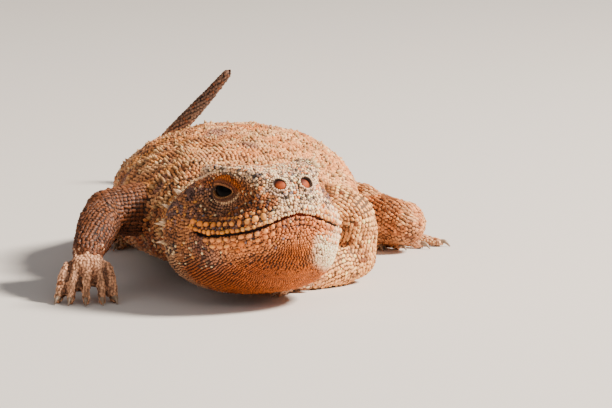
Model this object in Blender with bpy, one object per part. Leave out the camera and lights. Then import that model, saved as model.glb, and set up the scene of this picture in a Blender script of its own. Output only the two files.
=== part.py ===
"""A secret toad-headed agama crouching on level ground, life size, in metres with +Z up.

It faces -Y with its head turned to its own left, which is +X. Each part that a person would name
is an object of its own, with a thin gap to its neighbour.
"""

import math
import random

import bmesh
import bpy
from mathutils import Matrix, Vector
from mathutils.bvhtree import BVHTree

MM = 0.001
GAP = 0.3  # air between two parts that touch, in millimetres as all the sizes below are

# Head, in its own frame: x forward from the line of the eyes, y to the left, z up
HEAD_AT = (6.9, -19.7, 22.1)
HEAD_YAW = 28.0
HEAD_PITCH = 8.0
HEAD_BACK = -13.0
HEAD_FRONT = 11.6
HEAD_RINGS = 24
HEAD_SIDES = 40
HEAD_SQUARE_BELOW = 2.5
HEAD_STATIONS = (
    # forward, half width, height of the widest level, top, bottom, squareness above
    (HEAD_BACK, 14.6, -7.2, 3.0, -15.6, 2.0),
    (-9.0, 17.2, -8.8, 4.0, -18.2, 2.1),
    (-5.0, 16.4, -9.2, 4.4, -19.2, 2.4),
    (0.0, 13.9, -9.0, 4.5, -18.9, 2.8),
    (4.0, 11.9, -8.2, 4.3, -17.3, 2.8),
    (7.5, 9.7, -7.4, 2.8, -14.9, 2.7),
    (9.7, 7.2, -6.6, 0.6, -12.2, 2.4),
    (11.0, 4.4, -6.0, -2.2, -9.4, 2.2),
    (HEAD_FRONT, 1.2, -5.6, -4.6, -6.8, 2.0),
)
HEAD_RELIEF = (
    # from, to, radius and height of each ridge (above 0) or hollow (below 0), on both sides
    ((-4.5, 9.4, 2.8), (3.0, 9.8, 3.0), 1.8, 2.3),  # brow
    ((2.6, 10.2, 3.2), (3.4, 10.0, 3.2), 1.2, 0.9),  # the brow's sharp front corner
    ((3.8, 9.0, 3.0), (8.6, 4.6, 2.6), 1.5, 0.9),  # ridge from the brow to the nostril
    ((-1.2, 11.8, -0.4), (1.4, 11.4, -0.4), 3.0, -2.2),  # eye socket
    ((5.2, 9.6, -1.8), (7.6, 7.6, -2.2), 2.2, -0.9),  # hollow before the eye
    ((-5.0, 0.0, 4.4), (4.0, 0.0, 4.4), 3.2, -1.3),  # dip along the crown
    ((10.0, 2.6, 0.9), (10.2, 2.65, 0.3), 1.5, 0.7),  # swelling round the nostril
    ((-7.5, 14.4, -3.0), (-8.5, 15.0, -4.5), 2.6, 0.6),  # temple over the jaw joint
)
LIP_RISE = 0.35
LIP_HALF_HEIGHT = 1.3
MOUTH_CORNER = -2.2
MOUTH_LEVEL = -8.26
MOUTH_ARCH = 3.1
MOUTH_ARCH_WIDTH = 6.9
MOUTH_CORNER_RISE = 1.2
MOUTH_CORNER_RUN = 5.5
JAW_BACK_FOOT = -8.0
JAW_ZONE_HALF_WIDTH = 24.0
JAW_ZONE_STEPS = 16

EYE_AT = (-0.5, 7.1, -0.2)
EYE_RADIUS = 3.0
LID_THICKNESS = 0.6
EYE_FORWARD_TURN = 30.0
EYE_TILT = 8.0
LID_OPENING = (4.4, 2.3)

NOSTRIL_AT = (10.1, 2.65, 0.4)
NOSTRIL_RADIUS = 0.95
NOSTRIL_DEPTH = 1.3

LABIAL_STEP = 1.7
LABIAL_SIZE = (0.92, 0.5, 0.7)  # half length along the lip, half thickness, half height
LABIAL_OFF_LINE = 0.78
LIP_BEARINGS = (3.0, 106.0)
LIP_SAMPLES = 60

# Trunk and tail, in the body frame: y back from the neck, z up from the floor
TORSO_FRONT = 0.0
TORSO_BACK = 74.0
TORSO_RINGS = 18
TRUNK_SIDES = 30
TRUNK_SQUARE_ABOVE = 2.15
TRUNK_SQUARE_BELOW = 2.7
TORSO_STATIONS = (
    # y, half width, height of the widest level, top, bottom
    (TORSO_FRONT, 15.0, 12.4, 24.0, 4.0),
    (8.0, 18.6, 12.2, 25.4, 3.0),
    (20.0, 22.6, 12.0, 26.6, 2.2),
    (34.0, 24.4, 11.4, 27.2, 1.7),
    (48.0, 22.8, 10.6, 25.4, 1.5),
    (60.0, 16.6, 9.4, 20.6, 1.6),
    (68.0, 11.0, 8.2, 16.0, 2.0),
    (TORSO_BACK, 8.2, 7.4, 12.8, 2.2),
)
NECK_RINGS = 6

TAIL_PATH = (
    # x, y, z, half width, half height
    (0.0, TORSO_BACK - 2.0, 7.7, 8.2, 5.3),
    (0.0, TORSO_BACK + 1.0, 7.2, 7.7, 5.0),
    (-0.6, 83.0, 5.6, 5.7, 4.5),
    (-2.4, 97.0, 3.6, 4.0, 3.6),
    (-6.6, 112.0, 2.75, 3.2, 2.9),
    (-12.2, 126.0, 2.4, 2.7, 2.5),
    (-17.0, 137.0, 2.9, 2.3, 2.2),
    (-18.8, 144.6, 5.6, 2.0, 1.9),
    (-16.8, 147.6, 9.8, 1.8, 1.7),
    (-13.0, 147.0, 14.2, 1.6, 1.5),
    (-8.4, 144.6, 19.4, 1.35, 1.3),
    (-3.4, 142.0, 25.4, 0.9, 0.9),
)
TAIL_CUTS = (0.0, 0.22, 0.46, 0.73, 1.0)
TAIL_RINGS = 34
TAIL_SIDES = 12
TAIL_TIP = ((0.75, 0.8), (1.25, 0.42))  # steps past the last ring, and its share of the size

# Limbs: joints in the body frame, and radii at the start, the middle and the end
LIMB_SIDES = 14
LIMB_RINGS = 6
SHOULDER = (12.0, 9.5, 13.5)
ELBOW = {"right": (-24.0, 3.6, 14.6), "left": (23.4, 8.0, 4.8)}
UPPER_ARM_BOW = {"right": (0.0, 0.0, 0.0), "left": (4.2, 0.0, 3.4)}
WRIST = {"right": (-26.8, -8.8, 8.7), "left": (15.4, 0.6, 2.5)}
UPPER_ARM_RADII = (5.6, 5.2, 3.9)
FOREARM_RADII = (3.8, 3.8, 2.8)
HIP = (6.5, 66.0, 9.6)
KNEE = {"right": (-25.4, 48.6, 7.2), "left": (33.8, 46.0, 5.9)}
ANKLE = {"right": (-16.6, 66.0, 3.2), "left": (21.0, 60.0, 3.2)}
THIGH_RADII = (6.6, 6.3, 4.2)
SHANK_RADII = (4.0, 3.9, 2.4)

# Hands and feet: heading in degrees from -Y towards the animal's outer side
HAND_HEADING = {"right": 0.0, "left": -70.0}
KNUCKLE_HEIGHT = {"right": 6.0, "left": 2.0}
PALM_LENGTH = 3.8
PALM_RADIUS = 2.5
PALM_FLATNESS = 0.62
FINGERS = {
    # how far the root lies outwards, the turn outwards in degrees, the length
    "right": (
        (-3.3, -20.0, 4.4),
        (-2.0, -9.0, 5.4),
        (0.0, -1.0, 5.8),
        (2.0, 7.0, 5.6),
        (3.3, 17.0, 4.8),
    ),
    "left": (
        (-3.3, -30.0, 5.6),
        (-2.0, -13.0, 7.4),
        (0.0, -2.0, 8.2),
        (2.0, 9.0, 8.0),
        (3.3, 26.0, 6.4),
    ),
}
FOOT_HEADING = {"right": 26.0, "left": 64.0}
SOLE_LENGTH = 7.6
SOLE_RADIUS = 2.7
TOE_ROOT_HEIGHT = 2.0
TOES = (
    (-3.1, -34.0, 5.0),
    (-1.8, -16.0, 7.6),
    (-0.3, -3.0, 10.4),
    (1.4, 8.0, 13.0),
    (2.4, 32.0, 8.0),
)
DIGIT_RADII = (1.2, 1.1, 0.85)
DIGIT_SIDES = 7
DIGIT_RINGS = 4
CLAW_LENGTH = 2.4
CLAW_RADIUS = 0.52
FRINGED_TOES = (2, 3)
FRINGE_STEP = 1.15
FRINGE_SIZE = (0.36, 0.5, 1.0)  # half thickness, half width, length past the toe

SPINE_SIDES = 5
SPINE_ROOT = 0.8
SPINE_SEED = 7
JOWL_SPINES = (
    # forward, degrees above the level of the jowl, length, radius
    (-10.4, 16.0, 2.3, 0.62),
    (-11.0, 5.0, 2.6, 0.66),
    (-10.0, -6.0, 2.0, 0.6),
    (-8.8, 26.0, 1.7, 0.55),
    (-10.8, 29.0, 2.0, 0.6),
    (-8.6, 6.0, 1.7, 0.55),
)
CORNER_FOLD_HEIGHTS = (-5.5, -6.9, -8.3, -9.7, -11.1)  # the fringed fold behind the mouth's corner
CORNER_FOLD_SPINE = (1.3, 0.46)  # length and radius
CORNER_FOLD_SETBACK = 1.2
# Spans of y and how far the spines lean back, on the left (1) and the right (-1)
NECK_SPINE_SPANS = {1: (-1.2, -0.9, 0.0), -1: (-9.0, -2.0, 0.55)}
NECK_SPINE_ROWS = (8.0, 20.0, 33.0, 47.0)
NECK_SPINES_PER_ROW = 3
SHOULDER_SPINE_SPANS = {1: (3.0, 13.0, 0.55), -1: (2.5, 13.0, 0.55)}
SHOULDER_SPINE_ROWS = (33.0, 43.0, 54.0)
SHOULDER_SPINES_PER_ROW = 4

HIDES = {
    "head": ((0.66, 0.46, 0.29), 0.8),
    "jaw": ((0.66, 0.38, 0.18), 0.8),
    "trunk": ((0.60, 0.40, 0.25), 0.85),
    "limb": ((0.58, 0.36, 0.21), 0.85),
    "tail": ((0.52, 0.38, 0.27), 0.85),
    "eye": ((0.012, 0.010, 0.009), 0.12),
}


def clear_scene():
    for obj in list(bpy.data.objects):
        bpy.data.objects.remove(obj, do_unlink=True)


def collection_named(name):
    made = bpy.data.collections.new(name)
    bpy.context.scene.collection.children.link(made)
    return made


def hide_material(name):
    colour, roughness = HIDES[name]
    material = bpy.data.materials.get(name)
    if material is None:
        material = bpy.data.materials.new(name)
        material.use_nodes = True
        shader = material.node_tree.nodes["Principled BSDF"]
        shader.inputs["Base Color"].default_value = (*colour, 1.0)
        shader.inputs["Roughness"].default_value = roughness
        shader.inputs["Metallic"].default_value = 0.0
    return material


def smooth(keys, t):
    """The values at t on a smooth curve through keys, each of which is (t, value, value, ...)."""
    last = len(keys) - 1
    i = 0
    while i < last - 1 and t > keys[i + 1][0]:
        i += 1
    a, b = keys[i], keys[i + 1]
    before, after = keys[max(i - 1, 0)], keys[min(i + 2, last)]
    span = b[0] - a[0]
    u = min(max((t - a[0]) / span, 0.0), 1.0)
    values = []
    for n in range(1, len(a)):
        slope_a = (b[n] - before[n]) / (b[0] - before[0]) * span
        slope_b = (after[n] - a[n]) / (after[0] - a[0]) * span
        values.append(
            (2 * u**3 - 3 * u**2 + 1) * a[n]
            + (u**3 - 2 * u**2 + u) * slope_a
            + (3 * u**2 - 2 * u**3) * b[n]
            + (u**3 - u**2) * slope_b
        )
    return values


def power(value, exponent):
    return math.copysign(abs(value) ** exponent, value)


def loft(name, rings, material, collection, parent=None):
    """A closed skin over rings of points, in millimetres, with a flat face at each end."""
    mesh = bmesh.new()
    rows = [[mesh.verts.new(Vector(point) * MM) for point in ring] for ring in rings]
    sides = len(rings[0])
    for row, following in zip(rows, rows[1:]):
        for i in range(sides):
            j = (i + 1) % sides
            mesh.faces.new((row[i], row[j], following[j], following[i]))
    mesh.faces.new(rows[0])
    mesh.faces.new(rows[-1])
    bmesh.ops.recalc_face_normals(mesh, faces=mesh.faces)
    return object_from(mesh, name, material, collection, parent)


def object_from(mesh, name, material, collection, parent=None):
    data = bpy.data.meshes.new(name)
    mesh.to_mesh(data)
    mesh.free()
    data.shade_smooth()
    obj = bpy.data.objects.new(name, data)
    obj.data.materials.append(hide_material(material))
    collection.objects.link(obj)
    obj.parent = parent
    return obj


def apply_modifiers(obj):
    bpy.context.view_layer.update()
    graph = bpy.context.evaluated_depsgraph_get()
    made = bpy.data.meshes.new_from_object(obj.evaluated_get(graph))
    obj.modifiers.clear()
    obj.data = made


def carve(obj, operation, cutter, solver="MANIFOLD"):
    """Applies one Boolean to obj, removes the cutter and keeps the largest closed surface."""
    modifier = obj.modifiers.new("carve", "BOOLEAN")
    modifier.operation = operation
    modifier.solver = solver
    modifier.object = cutter
    apply_modifiers(obj)
    bpy.data.objects.remove(cutter, do_unlink=True)
    keep_largest(obj)


def fuse(obj, pieces):
    """Joins the pieces to obj with one union."""
    grown = collection_named("pieces of " + obj.name)
    for piece in pieces:
        for home in list(piece.users_collection):
            home.objects.unlink(piece)
        grown.objects.link(piece)
    modifier = obj.modifiers.new("fuse", "BOOLEAN")
    modifier.operation = "UNION"
    modifier.operand_type = "COLLECTION"
    modifier.solver = "EXACT"
    modifier.collection = grown
    apply_modifiers(obj)
    for piece in list(grown.objects):
        bpy.data.objects.remove(piece, do_unlink=True)
    bpy.data.collections.remove(grown)
    keep_largest(obj)


def keep_largest(obj):
    mesh = bmesh.new()
    mesh.from_mesh(obj.data)
    unseen = set(mesh.verts)
    bodies = []
    while unseen:
        edge = [unseen.pop()]
        body = set(edge)
        while edge:
            vertex = edge.pop()
            for link in vertex.link_edges:
                other = link.other_vert(vertex)
                if other in unseen:
                    unseen.discard(other)
                    body.add(other)
                    edge.append(other)
        bodies.append(body)
    largest = max(bodies, key=span_of)
    loose = [vertex for vertex in mesh.verts if vertex not in largest]
    bmesh.ops.delete(mesh, geom=loose, context="VERTS")
    mesh.to_mesh(obj.data)
    mesh.free()


def span_of(vertices):
    return sum(
        max(v.co[i] for v in vertices) - min(v.co[i] for v in vertices)
        for i in range(3)
    )


# Head


def head_matrix():
    yaw, pitch = math.radians(HEAD_YAW), math.radians(HEAD_PITCH)
    forward = Vector(
        (
            math.sin(yaw) * math.cos(pitch),
            -math.cos(yaw) * math.cos(pitch),
            math.sin(pitch),
        )
    )
    left = Vector((math.cos(yaw), math.sin(yaw), 0.0))
    turn = Matrix((forward, left, forward.cross(left))).transposed().to_4x4()
    return Matrix.Translation(Vector(HEAD_AT) * MM) @ turn


def section_point(angle, half_width, widest, top, bottom, above, below):
    """(sideways, up) on a rounded section. The angle runs from its left side over its top."""
    c, s = math.cos(angle), math.sin(angle)
    square = above if s >= 0 else below
    height = (top - widest) if s >= 0 else (widest - bottom)
    return half_width * power(c, 2 / square), widest + height * power(s, 2 / square)


def head_base(x, angle, grow=0.0):
    half_width, widest, top, bottom, above = smooth(HEAD_STATIONS, x)
    y, z = section_point(
        angle,
        half_width + grow,
        widest,
        top + grow,
        bottom - grow,
        above,
        HEAD_SQUARE_BELOW,
    )
    return Vector((x, y, z))


def bell(distance, radius):
    return math.exp(-((distance / radius) ** 2))


def mouth_height(x, y):
    """Height of the mouth's line: it arches over the tip of the snout and curls up at the corner."""
    back = min(max((MOUTH_CORNER + MOUTH_CORNER_RUN - x) / MOUTH_CORNER_RUN, 0.0), 1.0)
    arch = MOUTH_ARCH * bell(y, MOUTH_ARCH_WIDTH)
    return MOUTH_LEVEL + arch + MOUTH_CORNER_RISE * back**2


def distance_to_run(point, start, end):
    run = end - start
    share = min(max((point - start).dot(run) / run.length_squared, 0.0), 1.0)
    return (point - (start + run * share)).length


def head_relief(point):
    """How far the head's surface stands out from its plain form at a point."""
    side = Vector((point.x, abs(point.y), point.z))
    rise = sum(
        height * bell(distance_to_run(side, Vector(start), Vector(end)), radius)
        for start, end, radius, height in HEAD_RELIEF
    )
    if point.x > MOUTH_CORNER:
        fade = min(1.0, (point.x - MOUTH_CORNER) / 3.0)
        off_line = point.z - mouth_height(point.x, point.y)
        rise += LIP_RISE * fade * bell(off_line, LIP_HALF_HEIGHT)
    return rise


def head_normal(x, angle):
    step_x, step_angle = 0.05, 0.01
    along = head_base(min(x + step_x, HEAD_FRONT), angle) - head_base(x - step_x, angle)
    round_it = head_base(x, angle + step_angle) - head_base(x, angle - step_angle)
    normal = round_it.cross(along).normalized()
    outward = head_base(x, angle) - Vector((x - 2.0, 0.0, -6.0))
    return normal if normal.dot(outward) > 0 else -normal


def head_rings():
    rings = []
    for n in range(HEAD_RINGS + 1):
        x = HEAD_BACK + (HEAD_FRONT - HEAD_BACK) * math.sin(math.pi / 2 * n / HEAD_RINGS)
        ring = []
        for i in range(HEAD_SIDES):
            angle = 2 * math.pi * (i + 0.5) / HEAD_SIDES
            point = head_base(x, angle)
            fade = min(1.0, n / 3.0)
            ring.append(point + head_normal(x, angle) * head_relief(point) * fade)
        rings.append(ring)
    return rings


def surface_of(obj):
    """A lookup for rays against obj's own mesh, in its own frame."""
    mesh = bmesh.new()
    mesh.from_mesh(obj.data)
    tree = BVHTree.FromBMesh(mesh)
    mesh.free()
    return tree


def hit(tree, start, direction):
    """Where a ray, in millimetres, meets the surface, and the normal there."""
    point, normal, _, _ = tree.ray_cast(Vector(start) * MM, Vector(direction).normalized())
    return (None, None) if point is None else (point / MM, normal)


def lump(name, at, axes, size, material, collection, parent):
    """A scute: a twenty-faced ball with the half sizes along three axes."""
    mesh = bmesh.new()
    bmesh.ops.create_icosphere(mesh, subdivisions=1, radius=1.0)
    turn = Matrix(axes).transposed().to_4x4()
    scale = Matrix.Diagonal((*[s * MM for s in size], 1.0))
    mesh.transform(Matrix.Translation(Vector(at) * MM) @ turn @ scale)
    return object_from(mesh, name, material, collection, parent)


def spine(name, at, direction, length, radius, material, collection, parent, flat=1.0):
    """A tapering spine on a surface point, its root sunk in."""
    mesh = bmesh.new()
    bmesh.ops.create_cone(
        mesh,
        cap_ends=True,
        segments=SPINE_SIDES,
        radius1=radius * MM,
        radius2=radius * 0.12 * MM,
        depth=(length + SPINE_ROOT) * MM,
    )
    direction = Vector(direction).normalized()
    middle = Vector(at) + direction * ((length + SPINE_ROOT) / 2 - SPINE_ROOT)
    turn = direction.to_track_quat("Z", "Y").to_matrix().to_4x4()
    mesh.transform(
        Matrix.Translation(middle * MM) @ turn @ Matrix.Diagonal((1.0, flat, 1.0, 1.0))
    )
    return object_from(mesh, name, material, collection, parent)


def lip_run(tree, side, level):
    """Points and normals along one side's lip at even steps, from the front to the mouth's corner."""
    points = []
    first, last = LIP_BEARINGS
    for n in range(LIP_SAMPLES + 1):
        bearing = math.radians(first + (last - first) * n / LIP_SAMPLES)
        out = Vector((math.cos(bearing), side * math.sin(bearing), 0.0))
        guess, _ = hit(tree, (-1.0, 0.0, MOUTH_LEVEL), out)
        height = mouth_height(guess.x, guess.y) + level * LABIAL_OFF_LINE
        at, normal = hit(tree, (-1.0, 0.0, height), out)
        if at.x > MOUTH_CORNER + 0.3:
            points.append((at, normal))
    length = sum((b[0] - a[0]).length for a, b in zip(points, points[1:]))
    count = round(length / LABIAL_STEP)
    run, gone, wanted = [], 0.0, 0.5 * length / count
    for a, b in zip(points, points[1:]):
        step = (b[0] - a[0]).length
        if gone <= wanted < gone + step:
            share = (wanted - gone) / step
            run.append((a[0].lerp(b[0], share), a[1].lerp(b[1], share).normalized()))
            wanted += length / count
        gone += step
    return run


def labial_pieces(tree, collection, parent):
    """Two rows of scutes along the lips, one above and one below the mouth's line."""
    pieces = []
    for side in (1, -1):
        for level in (1, -1):
            for n, (at, normal) in enumerate(lip_run(tree, side, level)):
                along = Vector((0, 0, 1)).cross(normal).normalized()
                axes = (along, normal, along.cross(normal))
                name = f"labial_{n}_{side}_{level}"
                pieces.append(lump(name, at, axes, LABIAL_SIZE, "head", collection, parent))
    return pieces


def jowl_spine_pieces(tree, collection, parent):
    pieces = []
    for side in (1, -1):
        for n, (x, rise, length, radius) in enumerate(JOWL_SPINES):
            angle = math.radians(rise)
            out = Vector((0.0, side * math.cos(angle), math.sin(angle)))
            at, normal = hit(tree, (x, 0.0, -7.0), out)
            way = normal + Vector((-0.1, side * 0.35, 0.05))
            name = f"jowl_spine_{n}_{side}"
            pieces.append(
                spine(name, at, way, length, radius, "head", collection, parent)
            )
    return pieces


def corner_fold_pieces(tree, collection, parent):
    """The fringe of the fold of skin behind each corner of the mouth."""
    length, radius = CORNER_FOLD_SPINE
    slope = (MOUTH_CORNER - JAW_BACK_FOOT) / (24.0 + MOUTH_LEVEL + MOUTH_CORNER_RISE)
    pieces = []
    for side in (1, -1):
        for n, height in enumerate(CORNER_FOLD_HEIGHTS):
            drop = max(MOUTH_LEVEL + MOUTH_CORNER_RISE - height, 0.0)
            x = MOUTH_CORNER - CORNER_FOLD_SETBACK - slope * drop
            at, normal = hit(tree, (x, 0.0, height), (0.0, side, 0.0))
            way = normal + Vector((-0.9, side * 0.2, 0.0))
            name = f"fold_spine_{n}_{side}"
            pieces.append(spine(name, at, way, length, radius, "head", collection, parent))
    return pieces


def eye_direction(side):
    turn = math.radians(EYE_FORWARD_TURN)
    return Vector((math.sin(turn), side * math.cos(turn), 0.12)).normalized()


def ball(name, at, radius, material, collection, parent, rounds=8):
    mesh = bmesh.new()
    bmesh.ops.create_uvsphere(mesh, u_segments=2 * rounds, v_segments=rounds, radius=radius * MM)
    bmesh.ops.translate(mesh, verts=mesh.verts, vec=Vector(at) * MM)
    return object_from(mesh, name, material, collection, parent)


def rod(name, at, direction, half_sizes, length, collection, parent, tilt=0.0, sides=16):
    """A cutter: an oval rod about a point, along a direction and turned about it."""
    mesh = bmesh.new()
    bmesh.ops.create_cone(
        mesh, cap_ends=True, segments=sides, radius1=1.0, radius2=1.0, depth=length * MM
    )
    turn = Vector(direction).to_track_quat("Z", "Y").to_matrix().to_4x4()
    oval = Matrix.Diagonal((half_sizes[0] * MM, half_sizes[1] * MM, 1.0, 1.0))
    spin = Matrix.Rotation(tilt, 4, "Z")
    mesh.transform(Matrix.Translation(Vector(at) * MM) @ turn @ spin @ oval)
    cutter = object_from(mesh, name, "eye", collection, parent)
    cutter.hide_render = True
    return cutter


def jaw_zone(name, shift, collection, parent):
    """A block that holds all below the mouth's line and before the back of the jaw."""
    rings = []
    for n in range(-JAW_ZONE_STEPS, JAW_ZONE_STEPS + 1):
        y = n * JAW_ZONE_HALF_WIDTH / JAW_ZONE_STEPS
        profile = [(x, mouth_height(x, y)) for x in (MOUTH_CORNER, -1.2, 0.2, 1.8, 16.0)]
        profile += [(16.0, -24.0), (JAW_BACK_FOOT, -24.0)]
        rings.append([(x + shift[0], y, z + shift[1]) for x, z in profile])
    block = loft(name, rings, "eye", collection, parent)
    block.hide_render = True
    return block


def build_head(body, cutters, root):
    pose = bpy.data.objects.new("head pose", None)
    body.objects.link(pose)
    pose.parent = root
    pose.matrix_local = head_matrix()
    head = loft("head", head_rings(), "head", body, pose)
    tree = surface_of(head)
    pieces = labial_pieces(tree, body, pose)
    pieces += jowl_spine_pieces(tree, body, pose) + corner_fold_pieces(tree, body, pose)
    for side, word in ((1, "left"), (-1, "right")):
        at = (EYE_AT[0], side * EYE_AT[1], EYE_AT[2])
        outer = EYE_RADIUS + GAP + LID_THICKNESS
        pieces.append(ball("lids_" + word, at, outer, "head", body, pose))
    fuse(head, pieces)
    for side, word in ((1, "left"), (-1, "right")):
        at = Vector((EYE_AT[0], side * EYE_AT[1], EYE_AT[2]))
        look = eye_direction(side)
        half = (LID_OPENING[0] / 2, LID_OPENING[1] / 2)
        tilt = math.radians(-side * EYE_TILT)
        slit = rod("slit", at + look * 4.0, look, half, 5.0, cutters, pose, tilt)
        carve(head, "DIFFERENCE", slit)
        carve(head, "DIFFERENCE", ball("socket", at, EYE_RADIUS + GAP, "eye", cutters, pose))
        nose = Vector((NOSTRIL_AT[0], side * NOSTRIL_AT[1], NOSTRIL_AT[2]))
        way = Vector((0.78, side * 0.35, 0.5)).normalized()
        oval = (NOSTRIL_RADIUS, NOSTRIL_RADIUS * 0.85)
        pit = rod("pit", nose, way, oval, 2 * NOSTRIL_DEPTH, cutters, pose, sides=10)
        carve(head, "DIFFERENCE", pit)
        ball("eye_" + word, at, EYE_RADIUS, "eye", body, pose)
    jaw = head.copy()
    jaw.data = head.data.copy()
    jaw.name = "jaw"
    body.objects.link(jaw)
    jaw.data.materials[0] = hide_material("jaw")
    carve(jaw, "INTERSECT", jaw_zone("jaw zone", (GAP, -GAP), cutters, pose))
    carve(head, "DIFFERENCE", jaw_zone("jaw room", (0.0, 0.0), cutters, pose))
    return pose


# Trunk and tail


def torso_ring(y, grow=0.0):
    half_width, widest, top, bottom = smooth(TORSO_STATIONS, y)
    ring = []
    for i in range(TRUNK_SIDES):
        angle = 2 * math.pi * (i + 0.5) / TRUNK_SIDES
        x, z = section_point(
            angle,
            half_width + grow,
            widest,
            top + grow,
            bottom - grow,
            TRUNK_SQUARE_ABOVE,
            TRUNK_SQUARE_BELOW,
        )
        ring.append(Vector((x, y, z)))
    return ring


def torso_rings(grow=0.0):
    first, last = TORSO_FRONT + GAP / 2 - grow, TORSO_BACK - GAP / 2 + grow
    return [
        torso_ring(first + (last - first) * n / TORSO_RINGS, grow)
        for n in range(TORSO_RINGS + 1)
    ]


def neck_rings(matrix):
    """Rings that change from the back of the head to the front of the torso."""
    back = HEAD_BACK - GAP
    near = [
        Vector((back, p.y, p.z))
        for p in (
            head_base(HEAD_BACK, 2 * math.pi * (i + 0.5) / TRUNK_SIDES)
            for i in range(TRUNK_SIDES)
        )
    ]
    near = [matrix @ (p * MM) / MM for p in near]
    far = torso_ring(TORSO_FRONT - GAP / 2)
    lean = (matrix.to_3x3() @ Vector((1.0, 0.0, 0.0))) * -7.0
    run_back = Vector((0.0, 7.0, 0.0))
    rings = []
    for n in range(NECK_RINGS + 1):
        u = n / NECK_RINGS
        ring = []
        for a, b in zip(near, far):
            reach = min(1.0, (b - a).length / 8.0)
            ring.append(
                (2 * u**3 - 3 * u**2 + 1) * a
                + (u**3 - 2 * u**2 + u) * lean * reach
                + (3 * u**2 - 2 * u**3) * b
                + (u**3 - u**2) * run_back * reach
            )
        rings.append(ring)
    return rings


def path_keys(points):
    """Adds to each point of a path how far along it lies, from 0 to 1."""
    lengths = [0.0]
    for a, b in zip(points, points[1:]):
        lengths.append(lengths[-1] + (Vector(b[:3]) - Vector(a[:3])).length)
    return [(s / lengths[-1], *point) for s, point in zip(lengths, points)]


def path_frame(keys, t, step=0.004):
    """The point and the way forward at t on a path."""
    point = Vector(smooth(keys, t)[:3])
    ahead = Vector(smooth(keys, min(t + step, 1.0))[:3])
    behind = Vector(smooth(keys, max(t - step, 0.0))[:3])
    forward = (ahead - behind).normalized()
    return point, forward


def tube_rings(points, ts, sides, grow=0.0):
    """Rings square to a path of (x, y, z, half width, half height), without twist between them."""
    keys = path_keys(points)
    across = None
    rings = []
    for t in ts:
        point, forward = path_frame(keys, t)
        wide, high = smooth(keys, t)[3:5]
        if across is None:
            across = forward.cross(Vector((0, 0, 1))).normalized()
        across = (across - forward * across.dot(forward)).normalized()
        up = across.cross(forward)
        rings.append(
            [
                point
                + across * (wide + grow) * math.cos(2 * math.pi * (i + 0.5) / sides)
                + up * (high + grow) * math.sin(2 * math.pi * (i + 0.5) / sides)
                for i in range(sides)
            ]
        )
    return rings


def build_tail(body, root):
    keys = path_keys(TAIL_PATH)
    length = sum(
        (Vector(a[1:4]) - Vector(b[1:4])).length for a, b in zip(keys, keys[1:])
    )
    half_gap = GAP / 2 / length
    ts = [n / TAIL_RINGS for n in range(TAIL_RINGS + 1)]
    for n, (start, end) in enumerate(zip(TAIL_CUTS, TAIL_CUTS[1:])):
        first, last = start + half_gap, end - half_gap
        inner = [t for t in ts if first + 0.3 / TAIL_RINGS < t < last - 0.3 / TAIL_RINGS]
        rings = tube_rings(TAIL_PATH, [first, *inner, last], TAIL_SIDES)
        if end == 1.0:
            tip_ring = rings[-1]
            centre = sum(tip_ring, Vector()) / TAIL_SIDES
            onward = (centre - sum(rings[-2], Vector()) / TAIL_SIDES).normalized()
            for step, shrink in TAIL_TIP:
                rings.append([centre + onward * step + (p - centre) * shrink for p in tip_ring])
        piece = loft(f"tail_{n + 1}", rings, "tail", body, root)
        if n == 0:
            carve(piece, "DIFFERENCE", loft("torso room", torso_rings(GAP), "trunk", body, root))
        trim_to_floor(piece, body, root)


def trim_to_floor(obj, collection, root):
    """Cuts a small flat where a part would reach below the floor."""
    if min((obj.matrix_world @ v.co).z for v in obj.data.vertices) > -1e-6:
        return
    mesh = bmesh.new()
    bmesh.ops.create_cube(mesh, size=1.0)
    bmesh.ops.scale(mesh, verts=mesh.verts, vec=(0.5, 0.5, 0.02))
    bmesh.ops.translate(mesh, verts=mesh.verts, vec=(0.0, 0.0, -0.01))
    slab = object_from(mesh, "floor slab", "eye", collection, root)
    carve(obj, "DIFFERENCE", slab)


def trunk_spine_pieces(obj, spans, degrees, per_row, collection, root, seed):
    """Rows of short spines on both sides, each within a span of y and leaning back."""
    tree = surface_of(obj)
    draw = random.Random(seed)
    pieces = []
    for side in (1, -1):
        for row, rise in enumerate(degrees):
            for n in range(per_row):
                share = (n + 0.5 * (row % 2) + 0.4) / per_row
                first, last, lean = spans[side]
                y = first + (last - first) * min(share, 0.97)
                angle = math.radians(rise + draw.uniform(-3, 3))
                out = Vector((side * math.cos(angle), 0.0, math.sin(angle)))
                at, normal = hit(tree, (0.0, y, 10.0), out)
                if at is None:
                    continue
                way = normal + Vector((side * 0.2, lean, 0.1))
                length = draw.uniform(1.0, 1.7)
                name = f"spine_{obj.name}_{side}_{row}_{n}"
                pieces.append(
                    spine(name, at, way, length, 0.62, "trunk", collection, root)
                )
    return pieces


def build_trunk(body, root, pose):
    torso = loft("torso", torso_rings(), "trunk", body, root)
    neck = loft("neck", neck_rings(pose.matrix_local), "trunk", body, root)
    rows, count = SHOULDER_SPINE_ROWS, SHOULDER_SPINES_PER_ROW
    spines = trunk_spine_pieces(torso, SHOULDER_SPINE_SPANS, rows, count, body, root, SPINE_SEED)
    fuse(torso, spines)
    rows, count = NECK_SPINE_ROWS, NECK_SPINES_PER_ROW
    spines = trunk_spine_pieces(neck, NECK_SPINE_SPANS, rows, count, body, root, SPINE_SEED + 1)
    fuse(neck, spines)
    return torso, neck


# Limbs


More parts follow.
